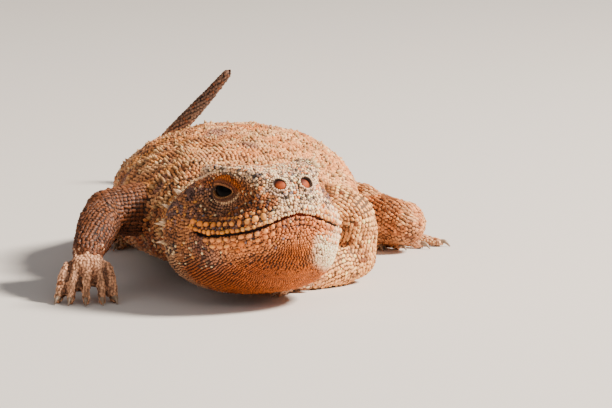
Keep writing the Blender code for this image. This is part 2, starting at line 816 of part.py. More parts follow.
def limb_rings(
    start, end, radii, grow=0.0, bow=(0.0, 0.0, 0.0), flat=1.0, sides=LIMB_SIDES, count=LIMB_RINGS
):
    """Rings of a limb with rounded ends, from one joint to the next."""
    a, b = Vector(start), Vector(end)
    middle = (a + b) / 2 + Vector(bow)
    points = [
        (*a, radii[0], radii[0] * flat),
        (*middle, radii[1], radii[1] * flat),
        (*b, radii[2], radii[2] * flat),
    ]
    rings = tube_rings(points, [n / count for n in range(count + 1)], sides, grow)
    first = sum(rings[0], Vector()) / sides
    last = sum(rings[-1], Vector()) / sides
    back = (first - sum(rings[1], Vector()) / sides).normalized()
    onward = (last - sum(rings[-2], Vector()) / sides).normalized()
    heads, tails = [], []
    for degrees in (74, 38):
        s, c = math.sin(math.radians(degrees)), math.cos(math.radians(degrees))
        reach = (radii[0] * flat + grow) * s
        heads.append([first + (p - first) * c + back * reach for p in rings[0]])
        reach = (radii[2] * flat + grow) * s
        tails.insert(0, [last + (p - last) * c + onward * reach for p in rings[-1]])
    return heads + rings + tails


def limb(name, start, end, radii, body, root, bow=(0.0, 0.0, 0.0)):
    return loft(name, limb_rings(start, end, radii, bow=bow), "limb", body, root)


def outward(side, point):
    """A point given for the left side, on either side of the body."""
    return Vector((point[0] * (1 if side == "left" else -1), point[1], point[2]))


def heading_vectors(side, degrees):
    """The way ahead and the way outwards, for a heading from -Y towards the outer side."""
    sign = 1 if side == "left" else -1
    angle = math.radians(degrees)
    ahead = Vector((sign * math.sin(angle), -math.cos(angle), 0.0))
    out = Vector((sign * math.cos(angle), math.sin(angle), 0.0))
    return ahead, out


def digit_pieces(name, base, ahead, length, lift, body, root, fringe=False):
    """A finger or toe with its claw, and a fringe of flat spines along a long toe."""
    tip_radius = DIGIT_RADII[2]
    tip = base + ahead * length
    tip.z = tip_radius - 0.12
    middle = base + ahead * length * 0.5
    middle.z = base.z * 0.55 + tip.z * 0.45 + lift
    end_radii = (DIGIT_RADII[0], DIGIT_RADII[1], tip_radius)
    bow = middle - (base + tip) / 2
    rings = limb_rings(base, tip, end_radii, bow=bow, sides=DIGIT_SIDES, count=DIGIT_RINGS)
    pieces = [loft(name, rings, "limb", body, root)]
    claw_middle = tip + ahead * (CLAW_LENGTH * 0.5) + Vector((0, 0, 0.35))
    claw_end = tip + ahead * CLAW_LENGTH + Vector((0, 0, 0.12 - tip.z))
    points = [
        (*(tip - ahead * 0.6), CLAW_RADIUS, CLAW_RADIUS),
        (*claw_middle, CLAW_RADIUS * 0.75, CLAW_RADIUS * 0.8),
        (*claw_end, 0.12, 0.12),
    ]
    claw = tube_rings(points, [0.0, 0.4, 0.75, 1.0], 5)
    pieces.append(loft(name + "_claw", claw, "limb", body, root))
    if fringe:
        pieces += fringe_pieces(name, base, tip, middle, ahead, length, body, root)
    return pieces


def fringe_pieces(name, base, tip, middle, ahead, length, body, root):
    thick, wide, reach = FRINGE_SIZE
    out = Vector((-ahead.y, ahead.x, 0.0))
    keys = path_keys([tuple(base), tuple(middle), tuple(tip)])
    count = int((length - 2.6) / FRINGE_STEP)
    pieces = []
    for n in range(count):
        t = (2.2 + n * FRINGE_STEP) / length
        at = Vector(smooth(keys, t)[:3])
        radius = DIGIT_RADII[0] + (DIGIT_RADII[2] - DIGIT_RADII[0]) * t
        size = 1.0 - 0.35 * abs(2 * t - 1)
        for sign in (1, -1):
            way = out * sign + ahead * 0.45
            start = at + out * sign * radius * 0.75
            mesh = bmesh.new()
            bmesh.ops.create_cone(
                mesh,
                cap_ends=True,
                segments=4,
                radius1=1.0,
                radius2=0.14,
                depth=(reach * size + 0.7) * MM,
            )
            way.normalize()
            turn = Matrix((ahead, Vector((0, 0, 1)), way)).transposed()
            turn.col[0] = turn.col[1].cross(turn.col[2]).normalized()
            oval = Matrix.Diagonal((wide * MM, thick * MM, 1.0, 1.0))
            place = start + way * (reach * size / 2)
            mesh.transform(Matrix.Translation(place * MM) @ turn.to_4x4() @ oval)
            pieces.append(
                object_from(mesh, f"{name}_fringe_{n}_{sign}", "limb", body, root)
            )
    return pieces


def build_extremity(kind, side, joint, heading, root_height, digits, body, root):
    """A hand or foot: the palm or sole, its digits, their claws and the toes' fringes."""
    length, radius = (PALM_LENGTH, PALM_RADIUS) if kind == "hand" else (SOLE_LENGTH, SOLE_RADIUS)
    ahead, out = heading_vectors(side, heading)
    joint = Vector(joint)
    knuckles = joint + ahead * length
    knuckles.z = root_height
    name = f"{kind}_{side}"
    radii = (radius * 0.95, radius * 1.15, radius * 1.25)
    palm = loft(
        name,
        limb_rings(joint, knuckles, radii, flat=PALM_FLATNESS, sides=14),
        "limb",
        body,
        root,
    )
    pieces = []
    for n, (offset, turn, reach) in enumerate(digits):
        base = knuckles + out * offset - ahead * (0.9 + 0.16 * abs(offset))
        way, _ = heading_vectors(side, heading + turn)
        lift = 0.9 if kind == "hand" else 0.5
        fringe = kind == "foot" and n in FRINGED_TOES
        pieces += digit_pieces(
            f"{name}_{n}", base, way, reach + 1.0, lift, body, root, fringe
        )
    fuse(palm, pieces)
    trim_to_floor(palm, body, root)
    return palm


def build_limbs(body, root):
    sides = ("right", "left")
    for side in sides:
        shoulder, hip = outward(side, SHOULDER), outward(side, HIP)
        elbow, wrist = ELBOW[side], WRIST[side]
        knee, ankle = KNEE[side], ANKLE[side]

        def grown(start, end, radii, bow=(0.0, 0.0, 0.0)):
            rings = limb_rings(start, end, radii, grow=GAP, bow=bow)
            return loft("room", rings, "limb", body, root)

        def torso_room():
            return loft("torso room", torso_rings(GAP), "limb", body, root)

        bow = UPPER_ARM_BOW[side]
        upper_arm = limb(f"upper_arm_{side}", shoulder, elbow, UPPER_ARM_RADII, body, root, bow)
        carve(upper_arm, "DIFFERENCE", torso_room())
        forearm = limb(f"forearm_{side}", elbow, wrist, FOREARM_RADII, body, root)
        carve(forearm, "DIFFERENCE", grown(shoulder, elbow, UPPER_ARM_RADII, bow))
        carve(forearm, "DIFFERENCE", torso_room())
        hand = build_extremity(
            "hand", side, wrist, HAND_HEADING[side], KNUCKLE_HEIGHT[side], FINGERS[side], body, root
        )
        carve(hand, "DIFFERENCE", grown(elbow, wrist, FOREARM_RADII))
        thigh = limb(f"thigh_{side}", hip, knee, THIGH_RADII, body, root)
        carve(thigh, "DIFFERENCE", torso_room())
        shank = limb(f"shank_{side}", knee, ankle, SHANK_RADII, body, root)
        carve(shank, "DIFFERENCE", grown(hip, knee, THIGH_RADII))
        carve(shank, "DIFFERENCE", torso_room())
        foot = build_extremity(
            "foot", side, ankle, FOOT_HEADING[side], TOE_ROOT_HEIGHT, TOES, body, root
        )
        carve(foot, "DIFFERENCE", grown(knee, ankle, SHANK_RADII))
        carve(foot, "DIFFERENCE", grown(hip, knee, THIGH_RADII))
        carve(foot, "DIFFERENCE", torso_room())
        for part in (upper_arm, forearm, thigh, shank):
            trim_to_floor(part, body, root)


def centre_over_floor(body, root):
    """Moves the animal so that the origin is the middle of its footprint's box."""
    bpy.context.view_layer.update()
    corners = [
        obj.matrix_world @ vertex.co
        for obj in body.objects
        if obj.type == "MESH"
        for vertex in obj.data.vertices
    ]
    for axis in (0, 1):
        low = min(corner[axis] for corner in corners)
        high = max(corner[axis] for corner in corners)
        root.location[axis] = -(low + high) / 2


def main():
    clear_scene()
    body = collection_named("toad-headed agama")
    cutters = collection_named("cutters")
    root = bpy.data.objects.new("agama", None)
    body.objects.link(root)
    pose = build_head(body, cutters, root)
    build_trunk(body, root, pose)
    build_tail(body, root)
    build_limbs(body, root)
    centre_over_floor(body, root)


main()
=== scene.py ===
"""The visual model of a secret toad-headed agama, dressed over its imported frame.

One skin covers all the flesh, and the scales, spines, claws and eyes stand on it. Sizes are in
millimetres in the animal's own frame, which the eyes tie to the frame of the solids.
"""

import math

import bmesh
import bpy
import numpy as np
from mathutils import Matrix, Vector, noise
from mathutils.bvhtree import BVHTree
from mathutils.kdtree import KDTree


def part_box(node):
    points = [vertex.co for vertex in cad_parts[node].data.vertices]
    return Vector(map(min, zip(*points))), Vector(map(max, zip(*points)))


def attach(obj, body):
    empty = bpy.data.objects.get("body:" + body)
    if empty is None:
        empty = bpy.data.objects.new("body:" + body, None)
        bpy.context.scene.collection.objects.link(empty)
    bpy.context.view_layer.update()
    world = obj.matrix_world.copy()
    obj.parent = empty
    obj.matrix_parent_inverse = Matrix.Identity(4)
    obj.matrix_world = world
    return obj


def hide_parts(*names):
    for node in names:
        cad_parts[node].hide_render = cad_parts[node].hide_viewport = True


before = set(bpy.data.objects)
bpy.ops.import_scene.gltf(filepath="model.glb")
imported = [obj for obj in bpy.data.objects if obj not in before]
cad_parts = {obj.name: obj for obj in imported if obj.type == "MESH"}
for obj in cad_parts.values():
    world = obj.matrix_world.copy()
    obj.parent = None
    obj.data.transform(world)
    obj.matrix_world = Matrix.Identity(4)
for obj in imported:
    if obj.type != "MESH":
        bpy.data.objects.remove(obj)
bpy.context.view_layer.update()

MM = 0.001
FLESH = (
    "head jaw neck torso tail_1 tail_2 tail_3 tail_4 upper_arm_left upper_arm_right forearm_left "
    "forearm_right hand_left hand_right thigh_left thigh_right shank_left shank_right foot_left "
    "foot_right"
).split()

# Head, in its own frame: x forward from the line of the eyes, y to the left, z up
HEAD_AT = (6.9, -19.7, 22.1)
HEAD_YAW = 28.0
HEAD_PITCH = 8.0
HEAD_BACK = -13.0
HEAD_FRONT = 11.6
HEAD_SQUARE_BELOW = 2.5
HEAD_STATIONS = (
    # forward, half width, height of the widest level, top, bottom, squareness above
    (HEAD_BACK, 14.6, -7.2, 3.0, -15.6, 2.0),
    (-9.0, 17.2, -8.8, 4.0, -18.2, 2.1),
    (-5.0, 16.4, -9.2, 4.4, -19.2, 2.4),
    (0.0, 13.9, -9.0, 4.5, -18.9, 2.8),
    (4.0, 11.9, -8.2, 4.3, -17.3, 2.8),
    (7.5, 9.7, -7.4, 2.8, -14.9, 2.7),
    (9.7, 7.2, -6.6, 0.6, -12.2, 2.4),
    (11.0, 4.4, -6.0, -2.2, -9.4, 2.2),
    (HEAD_FRONT, 1.2, -5.6, -4.6, -6.8, 2.0),
)
HEAD_RELIEF = (
    # from, to, radius and height of each ridge (above 0) or hollow (below 0), on both sides
    ((-4.5, 9.4, 2.8), (3.0, 9.8, 3.0), 1.8, 2.3),  # brow
    ((2.6, 10.2, 3.2), (3.4, 10.0, 3.2), 1.2, 0.9),  # the brow's sharp front corner
    ((3.8, 9.0, 3.0), (8.6, 4.6, 2.6), 1.5, 0.9),  # ridge from the brow to the nostril
    ((-1.2, 11.8, -0.4), (1.4, 11.4, -0.4), 3.0, -2.6),  # eye socket
    ((5.2, 9.6, -1.8), (7.6, 7.6, -2.2), 2.2, -0.9),  # hollow before the eye
    ((-5.0, 0.0, 4.4), (4.0, 0.0, 4.4), 3.2, -1.3),  # dip along the crown
    ((10.0, 2.6, 0.9), (10.2, 2.65, 0.3), 1.5, 0.7),  # swelling round the nostril
    ((-7.5, 14.4, -3.0), (-8.5, 15.0, -4.5), 2.6, 0.6),  # temple over the jaw joint
)
LIP_RISE = 0.35
LIP_HALF_HEIGHT = 1.3
MOUTH_CORNER = -2.2
MOUTH_LEVEL = -8.26
MOUTH_ARCH = 3.1
MOUTH_ARCH_WIDTH = 6.9
MOUTH_CORNER_RISE = 1.2
MOUTH_CORNER_RUN = 5.5

EYE_AT = (-0.5, 7.1, -0.2)
EYE_RADIUS = 3.0
LID_THICKNESS = 0.6
EYE_FORWARD_TURN = 30.0
EYE_TILT = 8.0
LID_OPENING = (4.6, 2.2)
LID_SHIFT = (-14.0, -4.0)
ORBIT_HALF = (62.0, 50.0)
SOCKET_RADIUS = 2.45
NOSTRIL_AT = (10.1, 2.65, 0.4)
NOSTRIL_RADIUS = 0.95
NOSTRIL_FACING = (0.78, 0.35, 0.5)

# Trunk and tail, in the body frame: y back from the neck, z up from the floor
TORSO_FRONT = 0.0
TORSO_BACK = 74.0
TRUNK_SQUARE_ABOVE = 2.15
TRUNK_SQUARE_BELOW = 2.7
TORSO_STATIONS = (
    # y, half width, height of the widest level, top, bottom
    (TORSO_FRONT, 15.0, 12.4, 24.0, 4.0),
    (8.0, 18.6, 12.2, 25.4, 3.0),
    (20.0, 22.6, 12.0, 26.6, 2.2),
    (34.0, 24.4, 11.4, 27.2, 1.7),
    (48.0, 22.8, 10.6, 25.4, 1.5),
    (60.0, 16.6, 9.4, 20.6, 1.6),
    (68.0, 11.0, 8.2, 16.0, 2.0),
    (TORSO_BACK, 8.2, 7.4, 12.8, 2.2),
)
TAIL_PATH = (
    # x, y, z, half width, half height
    (0.0, TORSO_BACK - 2.0, 7.7, 8.2, 5.3),
    (0.0, TORSO_BACK + 1.0, 7.2, 7.7, 5.0),
    (-0.6, 83.0, 5.6, 5.7, 4.5),
    (-2.4, 97.0, 3.6, 4.0, 3.6),
    (-6.6, 112.0, 2.75, 3.2, 2.9),
    (-12.2, 126.0, 2.4, 2.7, 2.5),
    (-17.0, 137.0, 2.9, 2.3, 2.2),
    (-18.8, 144.6, 5.6, 2.0, 1.9),
    (-16.8, 147.6, 9.8, 1.8, 1.7),
    (-13.0, 147.0, 14.2, 1.6, 1.5),
    (-8.4, 144.6, 19.4, 1.35, 1.3),
    (-3.4, 142.0, 25.4, 0.9, 0.9),
)

# Limbs: joints in the body frame, and radii at the start, the middle and the end
SHOULDER = (12.0, 9.5, 13.5)
ELBOW = {"right": (-24.0, 3.6, 14.6), "left": (23.4, 8.0, 4.8)}
UPPER_ARM_BOW = {"right": (0.0, 0.0, 0.0), "left": (4.2, 0.0, 3.4)}
WRIST = {"right": (-26.8, -8.8, 8.7), "left": (15.4, 0.6, 2.5)}
UPPER_ARM_RADII = (5.6, 5.2, 3.9)
FOREARM_RADII = (3.8, 3.8, 2.8)
HIP = (6.5, 66.0, 9.6)
KNEE = {"right": (-25.4, 48.6, 7.2), "left": (33.8, 46.0, 5.9)}
ANKLE = {"right": (-16.6, 66.0, 3.2), "left": (21.0, 60.0, 3.2)}
THIGH_RADII = (6.6, 6.3, 4.2)
SHANK_RADII = (4.0, 3.9, 2.4)

HAND_HEADING = {"right": 0.0, "left": -70.0}
KNUCKLE_HEIGHT = {"right": 6.0, "left": 2.0}
PALM_LENGTH = 3.8
PALM_RADIUS = 2.5
PALM_FLATNESS = 0.62
FINGERS = {
    # how far the root lies outwards, the turn outwards in degrees, the length
    "right": (
        (-3.3, -20.0, 4.4),
        (-2.0, -9.0, 5.4),
        (0.0, -1.0, 5.8),
        (2.0, 7.0, 5.6),
        (3.3, 17.0, 4.8),
    ),
    "left": (
        (-3.3, -30.0, 5.6),
        (-2.0, -13.0, 7.4),
        (0.0, -2.0, 8.2),
        (2.0, 9.0, 8.0),
        (3.3, 26.0, 6.4),
    ),
}
FOOT_HEADING = {"right": 26.0, "left": 64.0}
SOLE_LENGTH = 7.6
SOLE_RADIUS = 2.7
TOE_ROOT_HEIGHT = 2.0
TOES = (
    (-3.1, -34.0, 5.0),
    (-1.8, -16.0, 7.6),
    (-0.3, -3.0, 10.4),
    (1.4, 8.0, 13.0),
    (2.4, 32.0, 8.0),
)
DIGIT_RADII = (1.2, 1.1, 0.85)
CLAW_LENGTH = 2.4
CLAW_RADIUS = 0.52
FRINGED_TOES = (2, 3)

# Camera
CAMERA_TARGET = (14.0, -15.0, 18.35)
CAMERA_ELEVATION = 8.0
CAMERA_DISTANCE = 800.0
CAMERA_LENS = 254.0

VOXEL = 0.51
SCALE_SEED = 11


# Curves and sections


def smooth(keys, t):
    """The values at t on a smooth curve through keys, each of which is (t, value, value, ...)."""
    last = len(keys) - 1
    i = 0
    while i < last - 1 and t > keys[i + 1][0]:
        i += 1
    a, b = keys[i], keys[i + 1]
    before, after = keys[max(i - 1, 0)], keys[min(i + 2, last)]
    span = b[0] - a[0]
    u = min(max((t - a[0]) / span, 0.0), 1.0)
    values = []
    for n in range(1, len(a)):
        slope_a = (b[n] - before[n]) / (b[0] - before[0]) * span
        slope_b = (after[n] - a[n]) / (after[0] - a[0]) * span
        values.append(
            (2 * u**3 - 3 * u**2 + 1) * a[n]
            + (u**3 - 2 * u**2 + u) * slope_a
            + (3 * u**2 - 2 * u**3) * b[n]
            + (u**3 - u**2) * slope_b
        )
    return values


def angles(sides):
    return 2 * np.pi * (np.arange(sides) + 0.5) / sides


def section(sides, half_width, widest, top, bottom, above, below):
    """(sideways, up) round a section, from its left side over its top."""
    c, s = np.cos(angles(sides)), np.sin(angles(sides))
    square = np.where(s >= 0, above, below)
    height = np.where(s >= 0, top - widest, widest - bottom)
    across = half_width * np.sign(c) * np.abs(c) ** (2 / square)
    up = widest + height * np.sign(s) * np.abs(s) ** (2 / square)
    return across, up


def grid_normals(grid):
    """Outward normals of a grid of rings."""
    along = np.gradient(grid, axis=0)
    around = np.roll(grid, -1, axis=1) - np.roll(grid, 1, axis=1)
    normal = np.cross(around, along)
    centre = grid.mean(axis=1, keepdims=True)
    flip = np.sign(np.sum(normal * (grid - centre), axis=(1, 2)))
    normal *= np.where(flip == 0, 1, flip)[:, None, None]
    return normal / (np.linalg.norm(normal, axis=2, keepdims=True) + 1e-12)


def bell(distance, radius):
    return np.exp(-((distance / radius) ** 2))


def ramp(value, low, high):
    """0 at low and 1 at high, smoothly."""
    t = np.clip((np.asarray(value, float) - low) / (high - low), 0.0, 1.0)
    return t * t * (3 - 2 * t)


def run_distance(points, start, end):
    start, end = np.array(start), np.array(end)
    run = end - start
    share = np.clip((points - start) @ run / (run @ run), 0.0, 1.0)
    return np.linalg.norm(points - (start + share[..., None] * run), axis=-1)


# Head


def head_turn():
    yaw, pitch = math.radians(HEAD_YAW), math.radians(HEAD_PITCH)
    forward = np.array(
        [math.sin(yaw) * math.cos(pitch), -math.cos(yaw) * math.cos(pitch), math.sin(pitch)]
    )
    left = np.array([math.cos(yaw), math.sin(yaw), 0.0])
    return np.stack([forward, left, np.cross(forward, left)])


TURN = head_turn()


def from_head(points):
    return np.asarray(points) @ TURN + np.array(HEAD_AT)


def to_head(points):
    return (np.asarray(points) - np.array(HEAD_AT)) @ TURN.T


def mouth_height(points):
    """Height of the mouth's line at points of the head's frame."""
    back = np.clip((MOUTH_CORNER + MOUTH_CORNER_RUN - points[..., 0]) / MOUTH_CORNER_RUN, 0.0, 1.0)
    arch = MOUTH_ARCH * bell(points[..., 1], MOUTH_ARCH_WIDTH)
    return MOUTH_LEVEL + arch + MOUTH_CORNER_RISE * back**2


def head_relief(points):
    side = points * np.array([1.0, 0.0, 1.0]) + np.abs(points) * np.array([0.0, 1.0, 0.0])
    rise = np.zeros(points.shape[:-1])
    for start, end, radius, height in HEAD_RELIEF:
        rise += height * bell(run_distance(side, start, end), radius)
    fade = np.clip((points[..., 0] - MOUTH_CORNER) / 3.0, 0.0, 1.0)
    off_line = points[..., 2] - mouth_height(points)
    return rise + LIP_RISE * fade * bell(off_line, LIP_HALF_HEIGHT)


def head_grid(rings, sides, first=HEAD_BACK):
    """The head's surface, in its own frame."""
    xs = first + (HEAD_FRONT - first) * np.sin(np.pi / 2 * np.arange(rings + 1) / rings)
    grid = np.zeros((rings + 1, sides, 3))
    for n, x in enumerate(xs):
        half_width, widest, top, bottom, above = smooth(HEAD_STATIONS, x)
        y, z = section(sides, half_width, widest, top, bottom, above, HEAD_SQUARE_BELOW)
        grid[n, :, 0], grid[n, :, 1], grid[n, :, 2] = x, y, z
    fade = np.clip((xs - HEAD_BACK) / 3.0, 0.0, 1.0)
    return grid + grid_normals(grid) * (head_relief(grid) * fade[:, None])[..., None]


# Trunk, tail and limbs


def torso_ring(y, sides):
    half_width, widest, top, bottom = smooth(TORSO_STATIONS, y)
    x, z = section(
        sides, half_width, widest, top, bottom, TRUNK_SQUARE_ABOVE, TRUNK_SQUARE_BELOW
    )
    return np.stack([x, np.full(sides, y), z], axis=1)


def torso_grid(rings, sides):
    ys = np.linspace(TORSO_FRONT, TORSO_BACK, rings + 1)
    return np.stack([torso_ring(y, sides) for y in ys])


def neck_grid(rings, sides):
    half_width, widest, top, bottom, above = smooth(HEAD_STATIONS, HEAD_BACK)
    y, z = section(sides, half_width, widest, top, bottom, above, HEAD_SQUARE_BELOW)
    near = from_head(np.stack([np.full(sides, HEAD_BACK), y, z], axis=1))
    far = torso_ring(TORSO_FRONT, sides)
    reach = np.minimum(1.0, np.linalg.norm(far - near, axis=1) / 8.0)[:, None]
    lean = TURN[0] * -7.0 * reach
    run_back = np.array([0.0, 7.0, 0.0]) * reach
    grid = [
        (2 * u**3 - 3 * u**2 + 1) * near
        + (u**3 - 2 * u**2 + u) * lean
        + (3 * u**2 - 2 * u**3) * far
        + (u**3 - u**2) * run_back
        for u in np.linspace(0.0, 1.0, rings + 1)
    ]
    return np.stack(grid)


def path_keys(points):
    lengths = [0.0]
    for a, b in zip(points, points[1:]):
        lengths.append(lengths[-1] + math.dist(a[:3], b[:3]))
    return [(s / lengths[-1], *point) for s, point in zip(lengths, points)], lengths[-1]


def unit(vector):
    return vector / (np.linalg.norm(vector) + 1e-12)


def tube_grid(points, ts, sides):
    """Rings square to a path of (x, y, z, half width, half height), without twist between them."""
    keys, _ = path_keys(points)
    c, s = np.cos(angles(sides)), np.sin(angles(sides))
    across = None
    grid = []
    for t in ts:
        point = np.array(smooth(keys, t)[:3])
        ahead = np.array(smooth(keys, min(t + 0.004, 1.0))[:3])
        behind = np.array(smooth(keys, max(t - 0.004, 0.0))[:3])
        forward = unit(ahead - behind)
        wide, high = smooth(keys, t)[3:5]
        if across is None:
            across = unit(np.cross(forward, [0.0, 0.0, 1.0]))
        across = unit(across - forward * (across @ forward))
        up = np.cross(across, forward)
        grid.append(point + across * (wide * c)[:, None] + up * (high * s)[:, None])
    return np.stack(grid)


def rounded_ends(grid, start_radius, end_radius, steps=4):
    """Adds a round cap to each end of a tube."""
    first, last = grid[0].mean(axis=0), grid[-1].mean(axis=0)
    back = unit(first - grid[1].mean(axis=0))
    onward = unit(last - grid[-2].mean(axis=0))
    turns = np.radians(90 * (np.arange(steps) + 0.6) / steps)
    heads = [first + (grid[0] - first) * math.cos(a) + back * start_radius * math.sin(a) for a in turns]
    tails = [last + (grid[-1] - last) * math.cos(a) + onward * end_radius * math.sin(a) for a in turns]
    return np.concatenate([np.stack(heads[::-1]), grid, np.stack(tails)])


def limb_grid(start, end, radii, rings, sides, bow=(0.0, 0.0, 0.0), flat=1.0):
    a, b = np.array(start, float), np.array(end, float)
    middle = (a + b) / 2 + np.array(bow)
    points = [
        (*a, radii[0], radii[0] * flat),
        (*middle, radii[1], radii[1] * flat),
        (*b, radii[2], radii[2] * flat),
    ]
    grid = tube_grid(points, np.linspace(0.0, 1.0, rings + 1), sides)
    return rounded_ends(grid, radii[0] * flat, radii[2] * flat)


def heading_vectors(side, degrees):
    sign = 1 if side == "left" else -1
    angle = math.radians(degrees)
    ahead = np.array([sign * math.sin(angle), -math.cos(angle), 0.0])
    out = np.array([sign * math.cos(angle), math.sin(angle), 0.0])
    return ahead, out


def digit_plan(base, ahead, length, lift):
    """The root, middle and tip of a finger or toe."""
    tip = base + ahead * length
    tip[2] = DIGIT_RADII[2] - 0.12
    middle = base + ahead * length * 0.5
    middle[2] = base[2] * 0.55 + tip[2] * 0.45 + lift
    return base, middle, tip


def extremity_plan(kind, side):
    """The palm's or sole's two ends, the digits' plans and the way each digit points."""
    if kind == "hand":
        joint, heading, height = WRIST[side], HAND_HEADING[side], KNUCKLE_HEIGHT[side]
        length, digits, lift = PALM_LENGTH, FINGERS[side], 0.9
    else:
        joint, heading, height = ANKLE[side], FOOT_HEADING[side], TOE_ROOT_HEIGHT
        length, digits, lift = SOLE_LENGTH, TOES, 0.5
    ahead, out = heading_vectors(side, heading)
    joint = np.array(joint)
    knuckles = joint + ahead * length
    knuckles[2] = height
    plans = []
    for offset, turn, reach in digits:
        base = knuckles + out * offset - ahead * (0.9 + 0.16 * abs(offset))
        way, _ = heading_vectors(side, heading + turn)
        plans.append((*digit_plan(base, way, reach + 1.0, lift), way, reach + 1.0))
    return joint, knuckles, plans


# The frame of the solids


def frame_shift():
    """What to add to the animal's own frame, in millimetres, to reach the frame of the solids."""
    found = []
    for side, node in ((1, "eye_left"), (-1, "eye_right")):
        low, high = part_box(node)
        middle = (np.array(low) + np.array(high)) / 2 / MM
        found.append(middle - from_head((EYE_AT[0], side * EYE_AT[1], EYE_AT[2])))
    shift = np.mean(found, axis=0)
    shift[2] = 0.0
    return shift


SHIFT = frame_shift()


def to_world(points):
    return (np.asarray(points) + SHIFT) * MM


# Surfaces that the skin is made from and that the scales follow. Each is a grid of rings that
# run from front to back, or from the body out to the tip.


def all_surfaces():
    made = {}
    made["head"] = from_head(head_grid(110, 150))
    made["neck"] = neck_grid(24, 130)
    made["torso"] = torso_grid(110, 150)
    made["tail"] = rounded_ends(tube_grid(TAIL_PATH, np.linspace(0.0, 1.0, 220), 44), 1.0, 0.8)
    for side in ("right", "left"):
        sign = 1 if side == "left" else -1
        shoulder = (sign * SHOULDER[0], SHOULDER[1], SHOULDER[2])
        hip = (sign * HIP[0], HIP[1], HIP[2])
        made[f"upper_arm_{side}"] = limb_grid(
            shoulder, ELBOW[side], UPPER_ARM_RADII, 30, 40, UPPER_ARM_BOW[side]
        )
        made[f"forearm_{side}"] = limb_grid(ELBOW[side], WRIST[side], FOREARM_RADII, 30, 34)
        made[f"thigh_{side}"] = limb_grid(hip, KNEE[side], THIGH_RADII, 36, 44)
        made[f"shank_{side}"] = limb_grid(KNEE[side], ANKLE[side], SHANK_RADII, 30, 34)
        for kind, radius in (("hand", PALM_RADIUS), ("foot", SOLE_RADIUS)):
            joint, knuckles, plans = extremity_plan(kind, side)
            radii = (radius * 0.95, radius * 1.15, radius * 1.25)
            made[f"{kind}_{side}"] = limb_grid(joint, knuckles, radii, 20, 30, flat=PALM_FLATNESS)
            for n, (base, middle, tip, _, _) in enumerate(plans):
                bow = middle - (base + tip) / 2
                made[f"{kind}_{side}_{n}"] = limb_grid(base, tip, DIGIT_RADII, 24, 18, bow)
    return made


SURFACES = all_surfaces()


def mesh_object(name, points, faces, material=None):
    data = bpy.data.meshes.new(name)
    data.from_pydata([tuple(p) for p in points], [], faces)
    data.validate()
    data.update()
    obj = bpy.data.objects.new(name, data)
    bpy.context.scene.collection.objects.link(obj)
    if material:
        data.materials.append(material)
    return obj


def grid_faces(rings, sides, offset=0):
    r, i = np.meshgrid(np.arange(rings - 1), np.arange(sides), indexing="ij")
    j = (i + 1) % sides
    quads = np.stack([r * sides + i, r * sides + j, (r + 1) * sides + j, (r + 1) * sides + i], axis=-1)
    faces = (quads.reshape(-1, 4) + offset).tolist()
    faces.append([offset + k for k in range(sides)][::-1])
    faces.append([offset + (rings - 1) * sides + k for k in range(sides)])
    return faces


def union_inputs():
    """The surfaces, with the trunk's reaching into each other so that the skin closes over them."""
    grids = dict(SURFACES)
    neck = grids["neck"]
    front = neck[0] + TURN[0] * 2.0
    back = neck[-1] + np.array([0.0, 2.0, 0.0])
    shrink = lambda ring: ring.mean(axis=0) + (ring - ring.mean(axis=0)) * 0.93
    grids["neck"] = np.concatenate([shrink(front)[None], neck, shrink(back)[None]])
    return grids


def remeshed_skin():
    """One closed skin over all the surfaces."""
    points, faces, total = [], [], 0
    for grid in union_inputs().values():
        rings, sides, _ = grid.shape
        points.append(to_world(grid.reshape(-1, 3)))
        faces += grid_faces(rings, sides, total)
        total += rings * sides
    rough = mesh_object("rough", np.concatenate(points), faces)
    mesh = bmesh.new()
    mesh.from_mesh(rough.data)
    bmesh.ops.recalc_face_normals(mesh, faces=mesh.faces)
    mesh.to_mesh(rough.data)
    mesh.free()
    remesh = rough.modifiers.new("remesh", "REMESH")
    remesh.mode = "VOXEL"
    remesh.voxel_size = VOXEL * MM
    soften = rough.modifiers.new("soften", "SMOOTH")
    soften.factor = 0.5
    soften.iterations = 3
    graph = bpy.context.evaluated_depsgraph_get()
    made = bpy.data.meshes.new_from_object(rough.evaluated_get(graph))
    bpy.data.objects.remove(rough)
    skin = bpy.data.objects.new("skin", made)
    bpy.context.scene.collection.objects.link(skin)
    return skin


def coordinates(mesh):
    flat = np.empty(len(mesh.vertices) * 3)
    mesh.vertices.foreach_get("co", flat)
    return flat.reshape(-1, 3)


def set_coordinates(mesh, points):
    mesh.vertices.foreach_set("co", np.asarray(points).ravel())
    mesh.update()


def vertex_normals(mesh):
    flat = np.empty(len(mesh.vertices) * 3, np.float32)
    mesh.vertex_normals.foreach_get("vector", flat)
    return flat.reshape(-1, 3).astype(float)


def body_points(mesh):
    """A mesh's vertices in the animal's own frame, in millimetres."""
    return coordinates(mesh) / MM - SHIFT


def mirrored(local):
    """Points of the head's frame, all on its left side."""
    side = local.copy()
    side[:, 1] = np.abs(side[:, 1])
    return side


